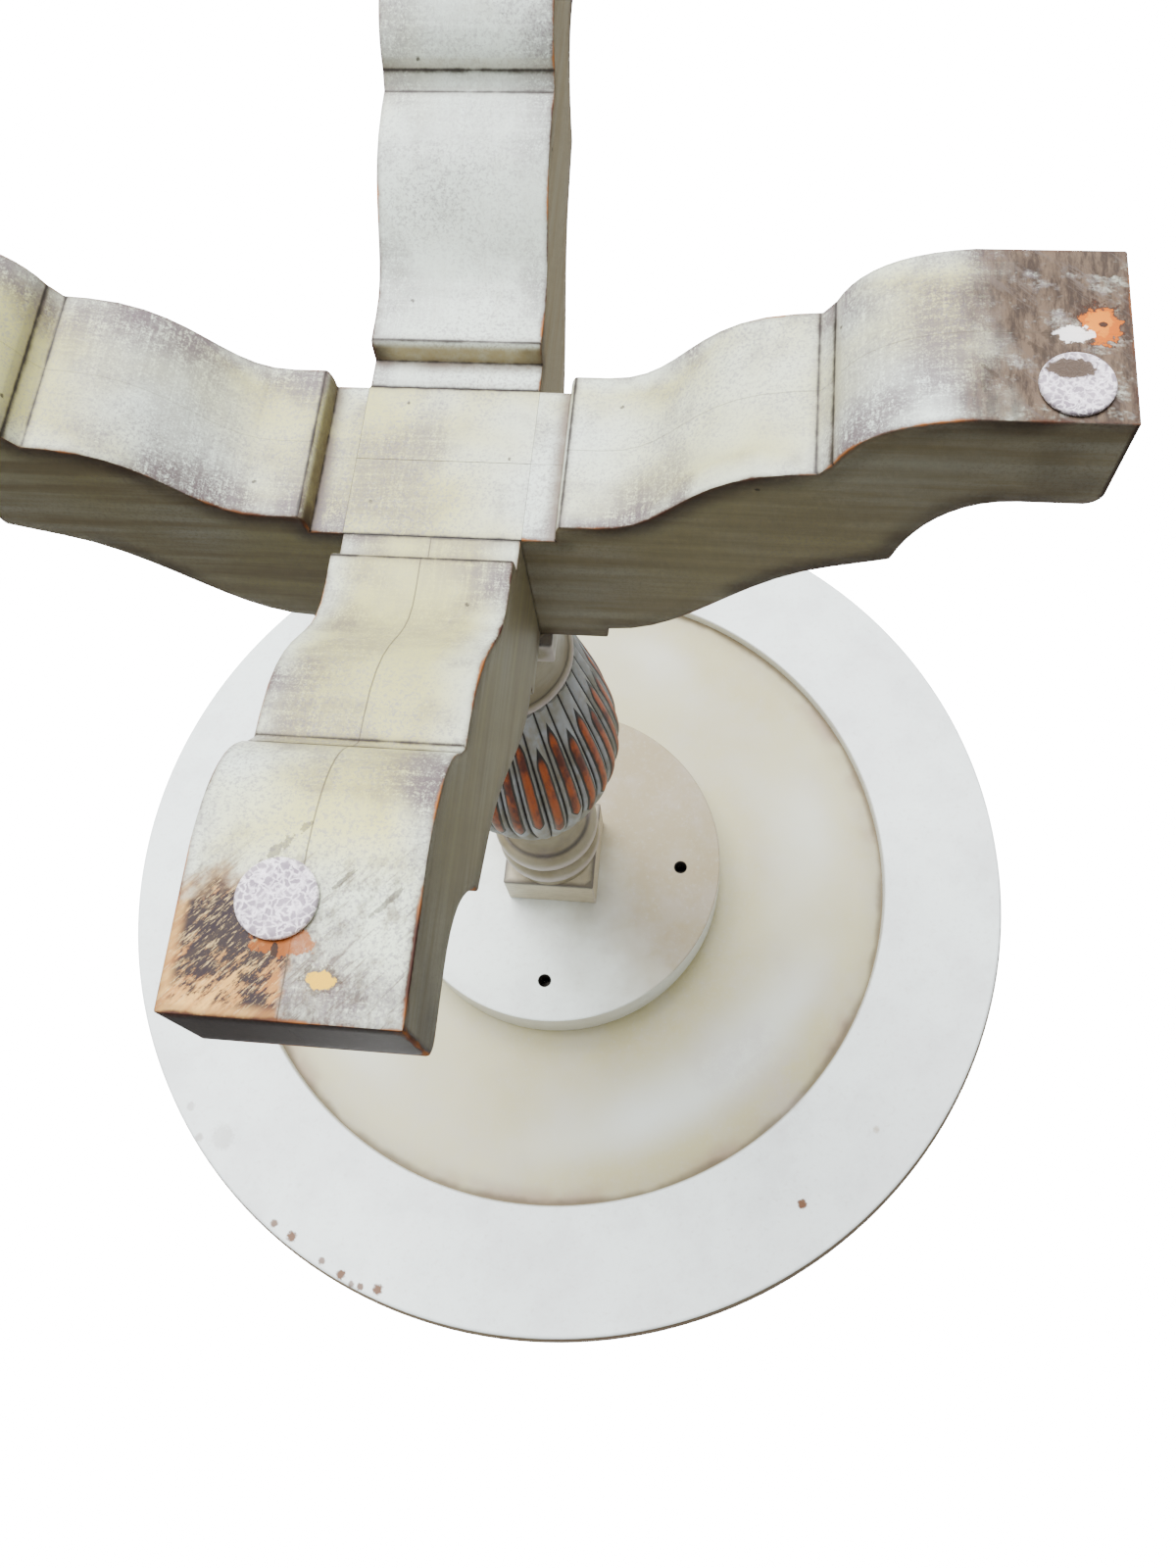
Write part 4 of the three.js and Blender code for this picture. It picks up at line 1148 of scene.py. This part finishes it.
# %% Felt, wood and zinc
def felt_material(name, dark_patch_at=None):
    """Pressed felt. Where a place is given, the face has one grey-brown patch there."""
    material, tree, output = new_material(name)
    place = add_node(tree, "ShaderNodeTexCoord").outputs["Object"]
    bend = add_node(tree, "ShaderNodeTexNoise", inputs={
        "Vector": place, "Scale": 260.0, "Detail": 3.0}).outputs["Color"]
    bent = add_node(tree, "ShaderNodeVectorMath", {"operation": "MULTIPLY_ADD"},
                    {0: bend, 1: (7 * MM, 5 * MM, 5 * MM), 2: place}).outputs[0]
    net = add_node(tree, "ShaderNodeTexVoronoi", {"feature": "DISTANCE_TO_EDGE"},
                   {"Vector": bent, "Scale": 330.0}).outputs["Distance"]
    strand = times(tree, fade(tree, net, 0.02, 0.22, 1.0, 0.0),
                   fade(tree, cloud(tree, place, 300, 3, 0.7), 0.3, 0.6, 0.35, 1.0))
    fuzz = cloud(tree, place, 1500, 3, 0.7)
    colour = either_colour(tree, fade(tree, cloud(tree, place, 90, 3, 0.6), 0.35, 0.65),
                           rgb(0.27, 0.235, 0.28), rgb(0.37, 0.33, 0.38))
    colour = either_colour(tree, times(tree, strand, 0.85), colour, rgb(0.95, 0.91, 0.97))
    if dark_patch_at:
        # One grey-brown patch on the face.
        colour = chip(tree, place, dark_patch_at, (9 * MM, 4.4 * MM), rgb(0.11, 0.082, 0.065), colour,
                      0.5, 400.0)
    raised = maths(tree, "ADD", strand, times(tree, fuzz, 0.6))
    glossy_coat(tree, output, colour, fade(tree, fuzz, 0.0, 1.0, 0.85, 1.0), raised, 0.35 * MM,
                Specular_IOR_Level=0.15, Sheen_Weight=0.3)
    return material


left_pad_low, left_pad_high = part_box("felt_pad_left")
left_pad = (left_pad_low + left_pad_high) / 2
dark_patch_at = (left_pad[0] + 2.2 * MM, left_pad[1] + 6.4 * MM, left_pad_low[2])
felt = felt_material("pale felt")
felt_with_patch = felt_material("felt with patch", dark_patch_at)

dowel_wood, tree, output = new_material("dowel wood")
place = add_node(tree, "ShaderNodeTexCoord").outputs["Object"]
wood = use_group(tree, grain, {"Place": place, "Pale": rgb(0.60, 0.42, 0.24),
                               "Dark": rgb(0.34, 0.19, 0.09)})
glossy_coat(tree, output, wood["Colour"], fade(tree, wood["Height"], 0.3, 0.7, 0.55, 0.75),
            wood["Height"], 0.2 * MM)

zinc, tree, output = new_material("dull zinc")
place = add_node(tree, "ShaderNodeTexCoord").outputs["Object"]
tarnish = cloud(tree, place, 420, 4, 0.65)
colour = either_colour(tree, fade(tree, tarnish, 0.4, 0.65), rgb(0.06, 0.054, 0.048),
                       rgb(0.02, 0.017, 0.015))
glossy_coat(tree, output, colour, fade(tree, tarnish, 0.3, 0.7, 0.32, 0.6), tarnish, 0.1 * MM,
            Metallic=0.9)

for node_name, node_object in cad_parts.items():
    finish = dowel_wood if "dowel" in node_name else zinc if "screw" in node_name else None
    if finish:
        node_object.data.materials.clear()
        node_object.data.materials.append(finish)
print("small finishes made")

# %% [markdown]
# ## One leg, copied four times
#
# Each leg is an ogee outline cut from two boards that are glued side by side. The outline is
# drawn once, with real corners at the lips and steps. A board is filled and pulled out of
# it, its outer edges are rounded a little, and it is sliced up like graph paper, so that the
# distances have vertices to sit on. Its twin is a mirror image, and turned copies of the
# pair make the other legs.

# %% The leg's outline
leg_low, leg_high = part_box("leg_right_board_a")
hub_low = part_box("hub_board_back")[0]
LEG_INNER = leg_low[0]
LEG_REACH = leg_high[0]
LEG_HALF = leg_high[1]
SOLE_Z = leg_low[2]
HUB_TOP_Z = leg_high[2]
HUB_UNDER_Z = hub_low[2]

step_x = LEG_HALF + 19 * MM
under_z = HUB_UNDER_Z - 12 * MM
bead_x = LEG_REACH - 116 * MM
bead_z = SOLE_Z + 38 * MM
sole_x = LEG_REACH - 59 * MM
foot_top_z = SOLE_Z + 53 * MM
foot_corner = 8 * MM
cove_x = LEG_REACH - 78 * MM
cove_z = SOLE_Z + 100.8 * MM
cove_reach = 45 * MM
shoulder_x = LEG_HALF + 35.5 * MM
ogee_z = HUB_TOP_Z - 9 * MM
under_run = bead_x - step_x
sole_run = sole_x - bead_x
upper_run = cove_x - shoulder_x
upper_drop = ogee_z - cove_z

leg_steps = [
    (step_x - 3 * MM, HUB_UNDER_Z),
    ((step_x - 3 * MM, under_z + 3 * MM), (step_x - MM, under_z), (step_x, under_z)),
    (step_x + 0.14 * under_run, under_z),
    ((step_x + 0.46 * under_run, under_z), (step_x + 0.46 * under_run, bead_z + 6 * MM),
     (step_x + 0.9 * under_run, bead_z + MM)),
    (bead_x, bead_z),
    (bead_x + 5 * MM, bead_z - 7 * MM),
    ((bead_x + 0.2 * sole_run, SOLE_Z + 13 * MM), (bead_x + 0.5 * sole_run, SOLE_Z + 2.5 * MM),
     (sole_x, SOLE_Z)),
    (LEG_REACH, SOLE_Z),
    (LEG_REACH, foot_top_z - foot_corner),
    ((LEG_REACH, foot_top_z - 0.45 * foot_corner), (LEG_REACH - 0.45 * foot_corner, foot_top_z),
     (LEG_REACH - foot_corner, foot_top_z)),
    (cove_x + cove_reach, foot_top_z),
    ((cove_x + 0.4 * cove_reach, foot_top_z), (cove_x + 0.12 * cove_reach, (
        foot_top_z + cove_z) / 2), (cove_x + MM, cove_z - 4 * MM)),
    (cove_x, cove_z),
    (cove_x - 0.19 * upper_run, cove_z + 0.11 * upper_drop),
    ((shoulder_x + 0.47 * upper_run, cove_z + 0.29 * upper_drop),
     (shoulder_x + 0.32 * upper_run, ogee_z), (shoulder_x + MM, ogee_z)),
    (shoulder_x, HUB_TOP_Z),
    (LEG_INNER, HUB_TOP_Z),
]
board = wire("leg_board", (LEG_INNER, HUB_UNDER_Z), leg_steps)
outline = [tuple(vertex.co) for vertex in board.data.vertices]
print("leg outline", len(outline), "points")

# %% [markdown]
# ## Lines where dirt and wear lie
#
# Wear follows the outline on both sides and the lips across the leg. Dirt and painted shade
# follow the inner corners across it, and dark lines follow the joint with the hub where that stays
# open.

# %% Edge and corner lines of a leg
leg_ridges = []
for here, there in zip(outline, outline[1:] + outline[:1]):
    if max(here[0], there[0]) > LEG_INNER + 0.1 * MM:
        for side in (-LEG_HALF, LEG_HALF):
            leg_ridges.append(((here[0], side, here[2]), (there[0], side, there[2])))


def across_leg(x, z):
    return (x, -LEG_HALF, z), (x, LEG_HALF, z)


leg_ridges += [across_leg(LEG_REACH, SOLE_Z), across_leg(LEG_REACH, foot_top_z - foot_corner),
               across_leg(cove_x, cove_z), across_leg(shoulder_x, HUB_TOP_Z)]
leg_corners = [across_leg(step_x - 3 * MM, HUB_UNDER_Z),
               across_leg(bead_x + 5 * MM, bead_z - 7 * MM),
               across_leg(bead_x - MM, bead_z), across_leg(shoulder_x + MM, ogee_z),
               across_leg(cove_x + MM, cove_z - 4 * MM),
               across_leg(step_x, under_z)]
open_joint = [across_leg(LEG_INNER, HUB_UNDER_Z), across_leg(LEG_INNER, HUB_TOP_Z)]
for side in (-LEG_HALF, LEG_HALF):
    open_joint.append(((LEG_INNER, side, HUB_UNDER_Z), (LEG_INNER, side, HUB_TOP_Z)))
print(len(leg_ridges), "edge lines", len(leg_corners), "corner lines")

# %% [markdown]
# ## One board
#
# The outline becomes a board by filling and pulling. Only its outer edges are rounded, so the
# seam to its twin and the joint with the hub stay tight.

# %% The board
SEAM = 0.03 * MM
BOARD_SLICE = 9 * MM


def weigh_edges(thing, wanted, angle=30):
    """Marks the sharp edges that the rounding is for."""
    thing.data.attributes.new("bevel_weight_edge", "FLOAT", "EDGE")
    edit_all(thing)
    shape = bmesh.from_edit_mesh(thing.data)
    layer = shape.edges.layers.float["bevel_weight_edge"]
    for edge in shape.edges:
        sharp = edge.is_manifold and edge.calc_face_angle() > math.radians(angle)
        edge[layer] = 1.0 if sharp and wanted(edge) else 0.0
    bmesh.update_edit_mesh(thing.data)
    leave_edit()


def soften_marked(thing, width, segments=2):
    rounding = thing.modifiers.new("sanded", "BEVEL")
    rounding.width = width
    rounding.segments = segments
    rounding.limit_method = "WEIGHT"
    rounding.use_clamp_overlap = True
    pick(thing)
    bpy.ops.object.modifier_apply(modifier=rounding.name)


def off_the_seam(edge):
    """True unless the edge runs along the seam or against the hub."""
    on_seam = all(vertex.co.y < MM for vertex in edge.verts)
    on_hub = all(vertex.co.x < LEG_INNER + 0.1 * MM for vertex in edge.verts)
    return not (on_seam or on_hub)


cut_board(board, LEG_HALF - SEAM, SEAM)
weigh_edges(board, off_the_seam)
soften_marked(board, 1.1 * MM)
slice_up(board, 0, np.arange(LEG_INNER + BOARD_SLICE, LEG_REACH, BOARD_SLICE))
slice_up(board, 2, np.arange(SOLE_Z + BOARD_SLICE, HUB_TOP_Z, BOARD_SLICE))
slice_up(board, 1, [LEG_HALF / 3, LEG_HALF * 2 / 3])
shade_round(board)
print("board", len(board.data.polygons), "faces")

# %% [markdown]
# ## Copies of the board
#
# A mirrored copy is the twin, and turned copies make the other legs. Distances are measured
# before the turn, so every leg has the same ones, and its own number moves the noise.

# %% Two boards make a leg, four legs make a foot
LEG_TURNS = {"right": 0, "back": 90, "left": 180, "front": 270}


def copy_piece(thing, name):
    pick(thing)
    bpy.ops.object.duplicate()
    made = bpy.context.object
    made.name = made.data.name = name
    return made


def settle(thing, turn=0, mirrored=False):
    """Turns or mirrors a copy about the column's axis, and applies its place."""
    pick(thing)
    thing.scale = (1, -1, 1) if mirrored else (1, 1, 1)
    thing.rotation_euler = (0, 0, math.radians(turn))
    bpy.ops.object.transform_apply(location=True, rotation=True, scale=True)
    if mirrored:
        close_up(thing)


for number, (leg, turn) in enumerate(LEG_TURNS.items()):
    for letter in ("a", "b"):
        made = copy_piece(board, "leg_" + leg + "_" + letter)
        settle(made, mirrored=letter == "b")
        places = vertex_places(made)
        write_vectors(made, "place", places)
        write_attribute(made, "number", np.full(len(places), 3.7 * number + 1.3))
        write_attribute(made, "to_edge", distance_to_lines(places, leg_ridges))
        # Lines for dirt and painted shade in the corners, and for the open joints.
        dirt_and_shade_lines = leg_corners + (open_joint if leg in ("front", "back") else [])
        write_attribute(made, "to_corner", distance_to_lines(places, dirt_and_shade_lines))
        settle(made, turn)
        hand_over(made, "leg_paint", leg_paints[leg], "leg_" + leg + "_board_" + letter)
bpy.data.objects.remove(board)

# %% [markdown]
# ## The hub
#
# Two boards make the block that the legs butt against. They are plain blocks, cut up for the
# distances like the legs. Paint has filled the joints to the right and left, and the front
# and back ones stay open as thin dark lines.

# %% The hub boards
hub_corners = []
for height in (HUB_UNDER_Z, HUB_TOP_Z):
    for side in (-LEG_HALF, LEG_HALF):
        hub_corners.append(((-LEG_HALF, side, height), (LEG_HALF, side, height)))
JOINT_GAP = 0.13 * MM


def block_between(name, low, high):
    """A block from its lowest to its highest corner."""
    clear_selection()
    middle = (Vector(low) + Vector(high)) / 2
    bpy.ops.mesh.primitive_cube_add(size=1, location=middle)
    made = bpy.context.object
    made.name = made.data.name = name
    made.scale = Vector(high) - Vector(low)
    bpy.ops.object.transform_apply(location=True, rotation=True, scale=True)
    return made


for which in ("back", "front"):
    low, high = (np.array(corner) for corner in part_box("hub_board_" + which))
    filled = np.array([JOINT_GAP, 0, 0])
    made = block_between("hub_" + which, low - filled, high + filled)
    slice_up(made, 0, np.linspace(low[0], high[0], 10)[1:-1])
    slice_up(made, 1, np.linspace(low[1], high[1], 6)[1:-1])
    slice_up(made, 2, np.linspace(low[2], high[2], 8)[1:-1])
    shade_round(made)
    places = vertex_places(made)
    write_vectors(made, "place", places)
    write_attribute(made, "number", np.full(len(places), 17.0))
    write_attribute(made, "to_edge", np.full(len(places), 0.02))
    write_attribute(made, "to_corner", distance_to_lines(places, hub_corners))
    hand_over(made, "leg_paint", leg_paints["hub"], "hub_board_" + which)

# %% [markdown]
# ## Square blocks of the column
#
# The plinth stands on the hub and the cap block carries the top. Both are square blocks with
# softened edges.

# %% Plinth and cap block
DOWEL_HOLE = 12.3 * MM
BLOCK_SLICES = 12


def square_outline(low, high, z):
    """The four edges of a block that lie at one height."""
    corners = [(low[0], low[1], z), (high[0], low[1], z), (high[0], high[1], z),
               (low[0], high[1], z)]
    return list(zip(corners, corners[1:] + corners[:1]))


def block_outline(low, high):
    """The twelve edges of a block as lines."""
    lines = square_outline(low, high, low[2]) + square_outline(low, high, high[2])
    for x in (low[0], high[0]):
        for y in (low[1], high[1]):
            lines.append(((x, y, low[2]), (x, y, high[2])))
    return lines


for node_name, paint in (("column_plinth", collar_paint), ("column_cap_block", block_paint)):
    low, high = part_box(node_name)
    made = block_between(node_name + "_piece", low, high)
    soften_edges(made, 1.4 * MM, 3)
    for axis in (0, 1, 2):
        slice_up(made, axis, np.linspace(low[axis], high[axis], BLOCK_SLICES)[1:-1])
    shade_round(made)
    places = vertex_places(made)
    write_attribute(made, "to_edge", distance_to_lines(places, block_outline(low, high)))
    joint = square_outline(low, high, low[2])
    write_attribute(made, "to_corner", distance_to_lines(places, joint))
    hand_over(made, "column_paint", paint, node_name)

# %% [markdown]
# ## Turned pieces
#
# The collar is a shallow cove with a half-round bead on top. The neck flares out of the urn
# and ends in two fat rings. Each profile is a closed wire that starts at the dowel hole, so
# that spinning it gives a closed piece with its hole.

# %% Profiles
LATHE_STEPS = 128
ROUND_HANDLE = 0.5523


def half_round(root, bulge, low, high):
    """Two curve steps that swell from a root radius out and back in, from low to high."""
    middle = (low + high) / 2
    reach = ROUND_HANDLE * (high - low) / 2
    out = root + bulge
    return [((root + ROUND_HANDLE * bulge, low), (out, middle - reach), (out, middle)),
            ((out, middle + reach), (root + ROUND_HANDLE * bulge, high), (root, high))]


# %% [markdown]
# ## The collar
#
# The collar is a shallow cove with a half-round bead, drawn from the dowel hole outwards.

# %% The collar
low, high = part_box("column_collar")
base_z, top_z = low[2], high[2]
COLLAR_RADIUS = 44 * MM
BEAD_RADIUS = 47 * MM
BEAD_ROOT = 43 * MM
bead_low = top_z - 8 * MM
cove_height = bead_low - base_z
made = wire("column_collar_piece", (DOWEL_HOLE, base_z), [
    (COLLAR_RADIUS, base_z),
    ((39.5 * MM, base_z + 0.3 * cove_height), (38.5 * MM, base_z + 0.8 * cove_height),
     (COLLAR_RADIUS, bead_low)),
    (BEAD_ROOT, bead_low),
    *half_round(BEAD_ROOT, BEAD_RADIUS - BEAD_ROOT, bead_low, top_z),
    (DOWEL_HOLE, top_z)])
turn_on_lathe(made, LATHE_STEPS)
shade_round(made)
places = vertex_places(made)
write_attribute(made, "to_edge", distance_to_lines(
    places, ring_line(BEAD_RADIUS, (bead_low + top_z) / 2)))
write_attribute(made, "to_corner", distance_to_lines(
    places, ring_line(BEAD_ROOT, bead_low) + ring_line(COLLAR_RADIUS, base_z)
    + ring_line(BEAD_ROOT, top_z)))
hand_over(made, "column_paint", collar_paint, "column_collar")

# %% [markdown]
# ## The neck
#
# The neck flares out of the urn and ends in two fat rings.

# %% The neck
low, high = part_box("column_neck")
base_z, top_z = low[2], high[2]
NECK_RADIUS = 28 * MM
RING_RADIUS = 43 * MM
RING_ROOT = 36 * MM
RING_THICK = 26 * MM
RING_SPACE = 5 * MM
ring_2 = top_z - 11.5 * MM - RING_THICK
ring_1 = ring_2 - RING_SPACE - RING_THICK
flare = ring_1 - base_z
made = wire("column_neck_piece", (DOWEL_HOLE, base_z), [
    (NECK_RADIUS, base_z),
    ((NECK_RADIUS, base_z + 0.5 * flare), (NECK_RADIUS + 3 * MM, base_z + 0.8 * flare),
     (RING_ROOT, ring_1)),
    *half_round(RING_ROOT, RING_RADIUS - RING_ROOT, ring_1, ring_1 + RING_THICK),
    (RING_ROOT, ring_2),
    *half_round(RING_ROOT, RING_RADIUS - RING_ROOT, ring_2, ring_2 + RING_THICK),
    (38.7 * MM, top_z), (DOWEL_HOLE, top_z)])
turn_on_lathe(made, LATHE_STEPS)
shade_round(made)
places = vertex_places(made)
crests = ring_line(RING_RADIUS, ring_1 + RING_THICK / 2) + ring_line(
    RING_RADIUS, ring_2 + RING_THICK / 2)
hollows = []
for height in (ring_1, ring_1 + RING_THICK, ring_2, ring_2 + RING_THICK):
    hollows += ring_line(RING_ROOT, height)
write_attribute(made, "to_edge", distance_to_lines(places, crests))
write_attribute(made, "to_corner", distance_to_lines(places, hollows))
hand_over(made, "column_paint", ring_paint, "column_neck")

# %% [markdown]
# ## The gadrooned urn
#
# Thirty lobes run from bottom to top. One lobe is a fine grid bent to shape: its rows follow
# the urn's outline, and its columns swell from groove to crest to groove. The lobe is then
# spun round in copies, and the copies are merged along the grooves.

# %% One lobe
LOBE_COUNT = 30
LOBE_COLUMNS = 14
LOBE_ROWS = 110
LOBE_DEPTH = 4.2 * MM
LOBE_TURN = math.radians(8)
URN_BASE = 47.5 * MM
URN_BELLY = 69.3 * MM
URN_NECK = 29 * MM
BELLY_SHARE = 0.467
urn_low, urn_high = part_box("column_urn")
URN_LOW_Z = urn_low[2]
URN_HEIGHT = urn_high[2] - urn_low[2]
lobe_angle = 2 * math.pi / LOBE_COUNT


def bezier(share, *ends):
    """A cubic Bezier of four (radius, height) pairs."""
    rest = 1 - share
    weights = (rest ** 3, 3 * rest ** 2 * share, 3 * rest * share ** 2, share ** 3)
    return sum(w * np.array(end) for w, end in zip(weights, ends))


def swelling(start, share, height):
    return start + share * (URN_BELLY - start), height


def urn_outline(share):
    """Radius over the crests and height, both in metres, at a share of the way up."""
    if share < BELLY_SHARE:
        radius, height = bezier(share / BELLY_SHARE, (URN_BASE, 0), swelling(URN_BASE, 0.34, 0.137),
                                swelling(URN_BASE, 1, 0.329), (URN_BELLY, BELLY_SHARE))
    else:
        radius, height = bezier((share - BELLY_SHARE) / (1 - BELLY_SHARE),
                                (URN_BELLY, BELLY_SHARE), swelling(URN_NECK, 1, 0.6),
                                swelling(URN_NECK, 0.45, 0.81), (URN_NECK, 1))
    return radius, height * URN_HEIGHT


clear_selection()
bpy.ops.mesh.primitive_grid_add(x_subdivisions=LOBE_COLUMNS, y_subdivisions=LOBE_ROWS, size=1)
urn = bpy.context.object
urn.name = urn.data.name = "column_urn_piece"
for vertex in urn.data.vertices:
    across_share, up_share = vertex.co.x + 0.5, vertex.co.y + 0.5
    radius, height = urn_outline(up_share)
    crest = math.sin(math.pi * across_share) ** 0.7 if 0 < across_share < 1 else 0.0
    fullness = (radius / URN_BELLY) ** 1.5
    radius -= LOBE_DEPTH * fullness * (1 - crest)
    angle = LOBE_TURN + across_share * lobe_angle
    vertex.co = (radius * math.cos(angle), radius * math.sin(angle), URN_LOW_Z + height)
print("one lobe", len(urn.data.polygons), "faces")

# %% [markdown]
# ## From one lobe to thirty
#
# The lobe is spun round in copies and merged along the grooves. Its open ends are drawn
# inwards, so that they can be closed as small flat faces.

# %% All the lobes
edit_all(urn)
bpy.ops.mesh.spin(steps=LOBE_COUNT - 1, dupli=True, angle=lobe_angle * (LOBE_COUNT - 1),
                  center=(0, 0, 0), axis=(0, 0, 1), use_auto_merge=False)
bpy.ops.mesh.select_all(action="SELECT")
bpy.ops.mesh.remove_doubles(threshold=0.05 * MM)
bpy.ops.mesh.select_all(action="DESELECT")
bpy.ops.mesh.select_non_manifold()
bpy.ops.mesh.extrude_region_move()
bpy.ops.transform.resize(value=(0.5, 0.5, 1), center_override=(0, 0, 0))
leave_edit()
print("lobed body", len(urn.data.polygons), "faces")

# %% [markdown]
# ## Closing the urn
#
# The ends are filled, and every vertex gets its place across its lobe and up the urn.

# %% Close the ends
edit_all(urn)
bpy.ops.mesh.select_all(action="DESELECT")
bpy.ops.mesh.select_non_manifold()
bpy.ops.mesh.fill_holes(sides=0)
leave_edit()
close_up(urn)
shade_round(urn, 50)
places = vertex_places(urn)
turns = (np.arctan2(places[:, 1], places[:, 0]) - LOBE_TURN) / lobe_angle
write_attribute(urn, "across", 1 - np.abs(2 * (turns - np.floor(turns)) - 1))
write_attribute(urn, "up", (places[:, 2] - URN_LOW_Z) / URN_HEIGHT)
hand_over(urn, "column_paint", lobe_paint, "column_urn")

# %% [markdown]
# ## The number of a lobe
#
# A lobe's number has to jump at the groove, where two lobes share a vertex. An attribute on
# faces can jump, so the number is written face by face.

# %% Numbers on faces
face_middles = np.empty(len(urn.data.polygons) * 3)
urn.data.polygons.foreach_get("center", face_middles)
face_middles = face_middles.reshape(-1, 3)
face_turns = (np.arctan2(face_middles[:, 1], face_middles[:, 0]) - LOBE_TURN) / lobe_angle
lobe_numbers = urn.data.attributes.new("number", "FLOAT", "FACE")
lobe_numbers.data.foreach_set("value", np.floor(face_turns).astype(np.float32) % LOBE_COUNT)
print("lobes", len(set(np.floor(face_turns) % LOBE_COUNT)))

# %% [markdown]
# ## The round plate
#
# A thick round plate joins the cap block to the top. It has four deep counterbores, and a
# screw sits at the bottom of each. The plate starts as a cylinder, its lower edge is
# softened, and the holes are cut with a Boolean modifier.

# %% The plate and its holes
plate_low, plate_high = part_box("mounting_plate")
PLATE_RADIUS = plate_high[0]
COUNTERBORE = 5.5 * MM
COUNTERBORE_DEPTH = 24 * MM
SHAFT_HOLE = 2.8 * MM
ROUND_STEPS = 192


def cylinder(name, radius, low_z, high_z, x=0, y=0, steps=32):
    clear_selection()
    bpy.ops.mesh.primitive_cylinder_add(vertices=steps, radius=radius, depth=high_z - low_z,
                                        location=(x, y, (low_z + high_z) / 2))
    made = bpy.context.object
    made.name = made.data.name = name
    bpy.ops.object.transform_apply(location=True, rotation=True, scale=True)
    return made


def bore(thing, radius, low_z, high_z, x, y):
    """Cuts one upright hole."""
    drill = cylinder("drill", radius, low_z, high_z, x, y)
    cut = thing.modifiers.new("bore", "BOOLEAN")
    cut.object = drill
    cut.operation = "DIFFERENCE"
    cut.solver = "EXACT"
    pick(thing)
    bpy.ops.object.modifier_apply(modifier=cut.name)
    bpy.data.objects.remove(drill)


plate = cylinder("mounting_plate_piece", PLATE_RADIUS, plate_low[2], plate_high[2],
                 steps=ROUND_STEPS)
soften_edges(plate, 2.2 * MM, 3)
for quarter in range(4):
    x = SCREW_CIRCLE * math.cos(quarter * math.pi / 2)
    y = SCREW_CIRCLE * math.sin(quarter * math.pi / 2)
    bore(plate, COUNTERBORE, plate_low[2] - MM, plate_low[2] + COUNTERBORE_DEPTH, x, y)
    bore(plate, SHAFT_HOLE, plate_low[2], plate_high[2] + MM, x, y)
shade_round(plate)
hand_over(plate, "top_paint", plate_paint, "mounting_plate")

# %% [markdown]
# ## The table top
#
# The top is a round panel with a wide ring glued under its edge, which makes it look thicker
# and leaves a shallow recess. The ring is cut from eight segments, but filler and paint hide
# their joints, so one turned ring stands for all eight.

# %% Panel and ring
panel = cylinder("table_top_piece", TOP_RADIUS, panel_low[2], panel_high[2], steps=ROUND_STEPS)
soften_edges(panel, 4 * MM, 5)
shade_round(panel)
hand_over(panel, "top_paint", panel_paint, "table_top")

rim_z, rim_top = rim_low[2], panel_low[2] - 0.05 * MM
EDGE_ROUND = 1.5 * MM
rim = wire("table_rim_piece", (RIM_INNER + EDGE_ROUND, rim_z), [
    (RIM_OUTER - 2 * EDGE_ROUND, rim_z),
    ((RIM_OUTER - EDGE_ROUND, rim_z), (RIM_OUTER, rim_z + EDGE_ROUND),
     (RIM_OUTER, rim_z + 2 * EDGE_ROUND)),
    (RIM_OUTER, rim_top), (RIM_INNER, rim_top), (RIM_INNER, rim_z + EDGE_ROUND),
    ((RIM_INNER, rim_z + 0.5 * EDGE_ROUND), (RIM_INNER + 0.5 * EDGE_ROUND, rim_z),
     (RIM_INNER + EDGE_ROUND, rim_z))])
turn_on_lathe(rim, ROUND_STEPS)
shade_round(rim)
hand_over(rim, "top_paint", rim_paint, *["rim_segment_" + str(i) for i in range(1, 9)])

# %% [markdown]
# ## The felt pads
#
# Each foot stands on one round pad of pressed felt. It is soft, so its edge is rounded off
# and its face is a little uneven, which a seeded random push gives to its inner vertices.
# The face starts a little above the floor, so that no push sinks it in.

# %% Felt pads
PAD_LIFT = 0.45 * MM

for number, leg in enumerate(LEG_TURNS):
    low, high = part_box("felt_pad_" + leg)
    middle = (low + high) / 2
    pad = cylinder("felt_pad_" + leg + "_piece", (high[0] - low[0]) / 2,
                   low[2] + PAD_LIFT, high[2], middle[0], middle[1], steps=48)
    soften_edges(pad, 0.9 * MM, 4)
    edit_all(pad)
    bpy.ops.mesh.select_all(action="DESELECT")
    shape = bmesh.from_edit_mesh(pad.data)
    for face in shape.faces:
        face.select = face.normal.z < -0.99 and face.calc_area() > 100e-6
    bmesh.update_edit_mesh(pad.data)
    for ring in range(4):
        bpy.ops.mesh.inset(thickness=2.6 * MM)
        bpy.ops.transform.vertex_random(offset=0.12 * MM, uniform=0.4, normal=0.6,
                                        seed=number * 10 + ring)
    leave_edit()
    shade_round(pad, 40)
    hand_over(pad, "felt", felt_with_patch if leg == "left" else felt, "felt_pad_" + leg)

# %% [markdown]
# ## Finish
#
# The number of pieces made is printed.

# %% Finish
print(len(made_pieces), "pieces made")
